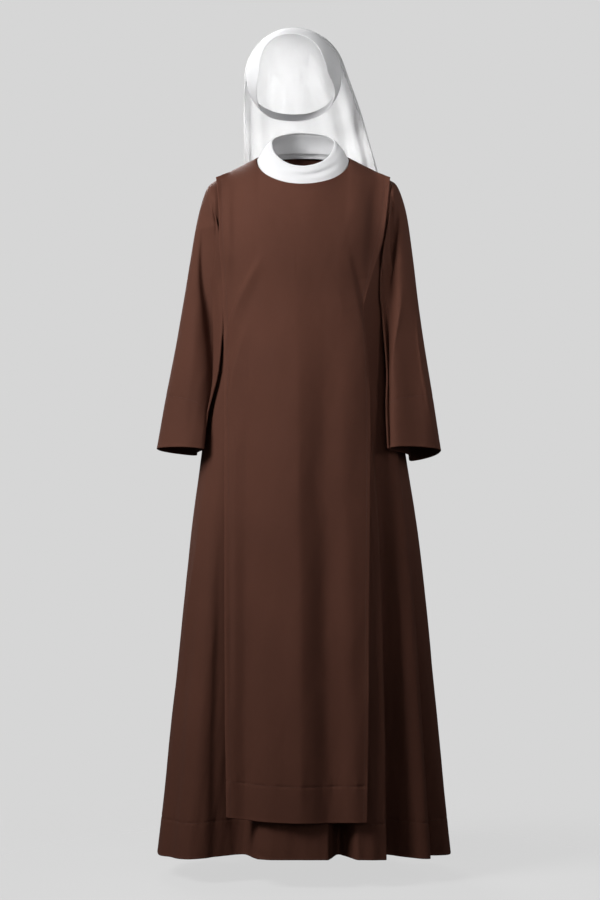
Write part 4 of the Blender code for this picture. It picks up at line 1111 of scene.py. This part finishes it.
class HABIT_OT_scapular(bpy.types.Operator):
    """Make the scapular's front and back panels"""

    bl_idname = "habit.scapular"
    bl_label = "Scapular"

    def execute(self, context):
        sizes, colours = context.scene.habit_sizes, context.scene.habit_colours
        brown = brown_cloth(colours)
        for side, table in (("front", SCAPULAR_FRONT), ("back", SCAPULAR_BACK)):
            grid, share, above = scapular_panel(side, table, 110, 110, sizes.foot_hem)
            facing = outward(grid, (0, 0, -0.6))
            x, height = grid[..., 0], grid[..., 2] + SHOULDER_HEIGHT
            edge = np.where(share < 0, read(table, "right", height), read(table, "left", height))
            beside = (1 - np.abs(share)) * edge
            lift = folded(x, height, SCAPULAR_FRONT_FOLDS if side == "front" else SCAPULAR_BACK_FOLDS)
            lift = lift + 0.0012 * waver(x, height, 31 if side == "front" else 32)
            lift = lift * step_up(1.40 - height, 0.0, 0.06)
            lift = lift - hem_groove(above, x, sizes.foot_hem, 0.0011, 3)
            lift = lift - hem_groove(beside, height, sizes.side_hem, 0.00030, 4)
            grid = grid + facing * lift[..., None]
            facing = outward(grid, (0, 0, -0.6))
            wear = np.maximum(np.exp(-((above / 0.004) ** 2)), np.exp(-((beside / 0.003) ** 2)))
            piece = shell(f"scapular_{side}_cloth", grid, facing, sizes.cloth, brown, wear=wear)
            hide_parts(f"scapular_{side}")
            thread = thread_material("brown_thread", colours.thread)
            row = nearest_row(above[:, 60], sizes.foot_hem)
            hem = nearest_row(beside[0], sizes.side_hem)
            lines = [row_line(grid, facing, row)]
            for column in (hem, grid.shape[1] - 1 - hem):
                lines.append((grid[:-3, column], facing[:-3, column]))
            stitches(f"scapular_{side}_stitching", lines, sizes.stitch, THREAD, thread)
        return {"FINISHED"}


class HABIT_OT_collar(bpy.types.Operator):
    """Make the white collar band"""

    bl_idname = "habit.collar"
    bl_label = "Collar"

    def execute(self, context):
        sizes, colours = context.scene.habit_sizes, context.scene.habit_colours
        angles = np.arange(200) * 2 * pi / 200
        base = ellipse_ring(
            angles,
            NECK_HALF_WIDTH - COLLAR_CLOTH,
            NECK_HEIGHT,
            (NECK_Y + FRONT_NECK[0] + COLLAR_CLOTH, NECK_HEIGHT + FRONT_NECK[1]),
            (NECK_Y + BACK_NECK[0] - COLLAR_CLOTH, NECK_HEIGHT + BACK_NECK[1]),
        )
        top = ellipse_ring(angles, 0.0625, 1.444, (-0.070, 1.390), (0.052, 1.470))
        away = unit((base - top.mean(axis=0)) * (1, 1, 0))
        up = np.linspace(0, 1, 40)[:, None, None]
        roll = 0.0042 * np.sin(pi * up**1.3) + 0.0012 * np.exp(-(((up - 0.93) / 0.05) ** 2))
        turned = np.radians(14)
        crease = np.clip(np.cos(angles - turned), 0, 1)[:, None] ** 5 * np.exp(-(((up - 0.50) / 0.15) ** 2))
        rows = base + (top - base) * up + away * (roll - 0.0058 * crease)
        grid = np.concatenate([(base - (0, 0, 0.009) - away * 0.001)[None], rows])
        facing = outward(grid, grid.mean(axis=1, keepdims=True), closed=True)
        run = 0.5 * np.linspace(0, 1, 200)[None, :]
        share = np.linspace(0, 1, 41)[:, None]
        grid = grid + facing * (0.0005 * waver(run, share * 0.05, 41))[..., None]
        facing = outward(grid, grid.mean(axis=1, keepdims=True), closed=True)
        white = white_cloth(colours, False)
        piece = shell("collar_band_cloth", grid, facing, COLLAR_CLOTH, white, closed=True)
        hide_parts("collar_band")
        return {"FINISHED"}


class HABIT_OT_head(bpy.types.Operator):
    """Make the coif and the veil over it"""

    bl_idname = "habit.head"
    bl_label = "Coif and veil"

    def execute(self, context):
        sizes, colours = context.scene.habit_sizes, context.scene.habit_colours
        self.coif(sizes, colours)
        self.veil(sizes, colours)
        return {"FINISHED"}

    def coif(self, sizes, colours):
        """A strip round the head, from its front edge back in even steps, on the head's egg shape."""
        angles = np.arange(220) * 360 / 220
        front, back = read(COIF, "front", angles), read(COIF, "back", angles)
        steps = np.linspace(0, 1, 40)[:, None]
        grid = head_ring(angles[None, :], front + (back - front) * steps)
        facing = outward(grid, placed(*HEAD_CENTRE), closed=True)
        run = 0.5 * np.linspace(0, 1, 220)[None, :]
        grid = grid + facing * (0.0004 * waver(run, steps * 0.08, 51))[..., None]
        piece = shell("coif_cloth", grid, facing, COIF_CLOTH, white_cloth(colours, False), closed=True)
        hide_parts("coif")

    def veil(self, sizes, colours):
        """Arches from the right edge over the back to the left edge, one for each step down the veil, with
        soft flutes added outwards and the cloth kept clear of the head."""
        step = np.linspace(0, 1, 110)[:, None]
        parts = ("", "_y", "_height")
        lines = (placed(*(read(VEIL, name + part, step) for part in parts)) for name in VEIL_LINES)
        right, middle, left = lines
        across = np.linspace(-1, 1, 200)[None, :, None]
        bend = 2 / read(VEIL, "square", step)[:, :, None]
        sideways = power(np.sin(pi / 2 * across), bend)
        behind = np.clip(np.cos(pi / 2 * across), 0, 1) ** bend
        centre = (left + right) / 2
        grid = centre + (left - right) / 2 * sideways + (middle - centre) * behind
        head = placed(*HEAD_CENTRE)
        facing = outward(grid, head)
        wave = (1 - np.cos(2 * pi * VEIL_FLUTES * (across + 1) / 2)) / 2
        grid = grid + facing * wave * read(VEIL, "fold", step)[:, :, None]
        share = np.linalg.norm((grid - head) / (np.array(HEAD_SIZE) + VEIL_OVER_HEAD), axis=-1, keepdims=True)
        grid = head + (grid - head) / np.minimum(share, 1)
        facing = outward(grid, head)
        close = 1 - step_up(step, 0.0, 0.10)[:, :, None]
        share = np.linalg.norm((grid - head) / np.array(HEAD_SIZE), axis=-1, keepdims=True)
        grid = grid - facing * close * np.maximum(share - 1.012, 0) * 0.094
        facing = outward(grid, head)
        piece = shell("veil_cloth", grid, facing, sizes.white_cloth, white_cloth(colours, True))
        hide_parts("veil")


class HABIT_OT_stage(bpy.types.Operator):
    """Make the floor, the lights, the backdrop colour and the camera"""

    bl_idname = "habit.stage"
    bl_label = "Stage"

    def execute(self, context):
        stage = context.scene.habit_stage
        self.camera(context)
        self.floor(context, stage)
        self.lights(context, stage)
        return {"FINISHED"}

    def camera(self, context):
        """A level camera in front, whose lens gives the photo's pixels a metre at the habit's distance."""
        data = bpy.data.cameras.new("photo_view")
        data.sensor_fit = "VERTICAL"
        data.sensor_height = 36
        data.lens = PIXELS_PER_METRE * CAMERA_DISTANCE / PICTURE_ROWS * data.sensor_height
        camera = bpy.data.objects.new("photo_view", data)
        camera.location = (CAMERA_X, -CAMERA_DISTANCE, CAMERA_HEIGHT - SHOULDER_HEIGHT)
        camera.rotation_euler = (radians(90), 0, 0)
        context.scene.collection.objects.link(camera)
        context.scene.camera = camera
        context.scene.view_settings.view_transform = "Standard"

    def floor(self, context, stage):
        """A flat square of cells whose material clears away from the middle out, so that no edge shows."""
        side = np.linspace(-stage.floor, stage.floor, 25)
        grid = np.stack(np.broadcast_arrays(side[None, :], side[:, None], -SHOULDER_HEIGHT), axis=-1)
        index = np.arange(625).reshape(25, 25)
        corners = index[:-1, :-1], index[:-1, 1:], index[1:, 1:], index[1:, :-1]
        cells = np.stack(corners, axis=-1).reshape(-1, 4)
        mesh = grid_mesh("floor", grid.reshape(-1, 3), cells)
        material = bpy.data.materials.new("pale_floor")
        material.use_nodes = True
        tree = material.node_tree
        shader = tree.nodes["Principled BSDF"]
        shader.inputs["Base Color"].default_value = (0.14, 0.14, 0.14, 1)
        shader.inputs["Roughness"].default_value = 0.95
        shader.inputs["Specular IOR Level"].default_value = 0.0
        shader.inputs["Emission Color"].default_value = (1, 1, 1, 1)
        seen = tree.nodes.new("ShaderNodeLightPath").outputs["Is Camera Ray"]
        link(tree, sum_node(tree, "MULTIPLY", seen, 0.61), shader.inputs["Emission Strength"])
        place = tree.nodes.new("ShaderNodeTexCoord").outputs["Object"]
        size = tree.nodes.new("ShaderNodeVectorMath")
        size.operation = "LENGTH"
        flat = tree.nodes.new("ShaderNodeVectorMath")
        flat.operation = "MULTIPLY"
        flat.inputs[1].default_value = (1, 1, 0)
        link(tree, place, flat.inputs[0])
        link(tree, flat.outputs[0], size.inputs[0])
        fade = tree.nodes.new("ShaderNodeMapRange")
        fade.interpolation_type = "SMOOTHSTEP"
        fade.inputs["From Min"].default_value = 0.35
        fade.inputs["From Max"].default_value = 1.2
        link(tree, size.outputs["Value"], fade.inputs["Value"])
        clear = tree.nodes.new("ShaderNodeBsdfTransparent")
        mix = tree.nodes.new("ShaderNodeMixShader")
        link(tree, fade.outputs["Result"], mix.inputs[0])
        link(tree, shader.outputs[0], mix.inputs[1])
        link(tree, clear.outputs[0], mix.inputs[2])
        link(tree, mix.outputs[0], tree.nodes["Material Output"].inputs["Surface"])
        mesh.materials.append(material)
        floor = bpy.data.objects.new("floor", mesh)
        context.scene.collection.objects.link(floor)

    def lights(self, context, stage):
        """A soft key from the wearer's front right, a weak fill, a narrow light on the left arm, two lights
        behind, one that shines through the veil, and an even pale surround. Each lamp faces its aim."""
        middle, shoulders, arm = (0.0, 0.0, -0.05), (0.0, 0.0, 0.05), (0.16, 0.0, -0.06)
        lamps = (
            ("key", (-1.90, -1.60, 1.10), middle, 1.2, 90, stage.key),
            ("fill", (1.0, -4.2, 0.9), middle, 2.4, 60, stage.fill),
            ("side", (2.8, -2.0, 0.7), arm, 0.8, 34, stage.side),
            ("rim", (3.0, 0.9, 0.9), middle, 1.6, 180, stage.rim),
            ("back", (-2.6, 2.8, 0.7), middle, 1.8, 180, stage.rim),
            ("veil", (-0.5, 1.7, 0.9), shoulders, 0.8, 60, stage.veil),
        )
        for name, place, target, size, spread, watts in lamps:
            data = bpy.data.lights.new(name, "AREA")
            data.size = size
            data.spread = radians(spread)
            data.energy = watts
            lamp = bpy.data.objects.new(name, data)
            lamp.location = place
            aim = np.array(target) - place
            flat = np.hypot(aim[0], aim[1])
            lamp.rotation_euler = (np.arctan2(flat, -aim[2]), 0, np.arctan2(-aim[0], aim[1]))
            context.scene.collection.objects.link(lamp)
        world = bpy.data.worlds.new("pale_surround")
        world.use_nodes = True
        context.scene.world = world
        tree = world.node_tree
        seen = tree.nodes["Background"]
        seen.inputs["Color"].default_value = (0.672, 0.672, 0.672, 1)
        lit = tree.nodes.new("ShaderNodeBackground")
        lit.inputs["Color"].default_value = (0.9, 0.92, 0.95, 1)
        lit.inputs["Strength"].default_value = 0.048
        path = tree.nodes.new("ShaderNodeLightPath")
        mix = tree.nodes.new("ShaderNodeMixShader")
        link(tree, path.outputs["Is Camera Ray"], mix.inputs[0])
        link(tree, lit.outputs[0], mix.inputs[1])
        link(tree, seen.outputs[0], mix.inputs[2])
        link(tree, mix.outputs[0], tree.nodes["World Output"].inputs["Surface"])


class HABIT_PT_panel(bpy.types.Panel):
    """Lists the habit's sizes, colours and pieces"""

    bl_idname = "HABIT_PT_panel"
    bl_label = "Religious habit"
    bl_space_type = "VIEW_3D"
    bl_region_type = "UI"
    bl_category = "Habit"

    def draw(self, context):
        for group in (context.scene.habit_sizes, context.scene.habit_colours, context.scene.habit_stage):
            box = self.layout.box()
            for name in group.__annotations__:
                box.prop(group, name)
        for operator in OPERATORS:
            self.layout.operator(operator.bl_idname)


OPERATORS = (HABIT_OT_tunic, HABIT_OT_scapular, HABIT_OT_collar, HABIT_OT_head, HABIT_OT_stage)
GROUPS = {"habit_sizes": HabitSizes, "habit_colours": HabitColours, "habit_stage": HabitStage}


def register():
    for kind in (*GROUPS.values(), *OPERATORS, HABIT_PT_panel):
        bpy.utils.register_class(kind)
    for name, kind in GROUPS.items():
        setattr(bpy.types.Scene, name, bpy.props.PointerProperty(type=kind))


def unregister():
    for name in GROUPS:
        delattr(bpy.types.Scene, name)
    for kind in reversed((*GROUPS.values(), *OPERATORS, HABIT_PT_panel)):
        bpy.utils.unregister_class(kind)


def main():
    """Makes every piece."""
    register()
    bpy.ops.habit.tunic()
    bpy.ops.habit.scapular()
    bpy.ops.habit.collar()
    bpy.ops.habit.head()
    bpy.ops.habit.stage()


if __name__ == "__main__":
    main()
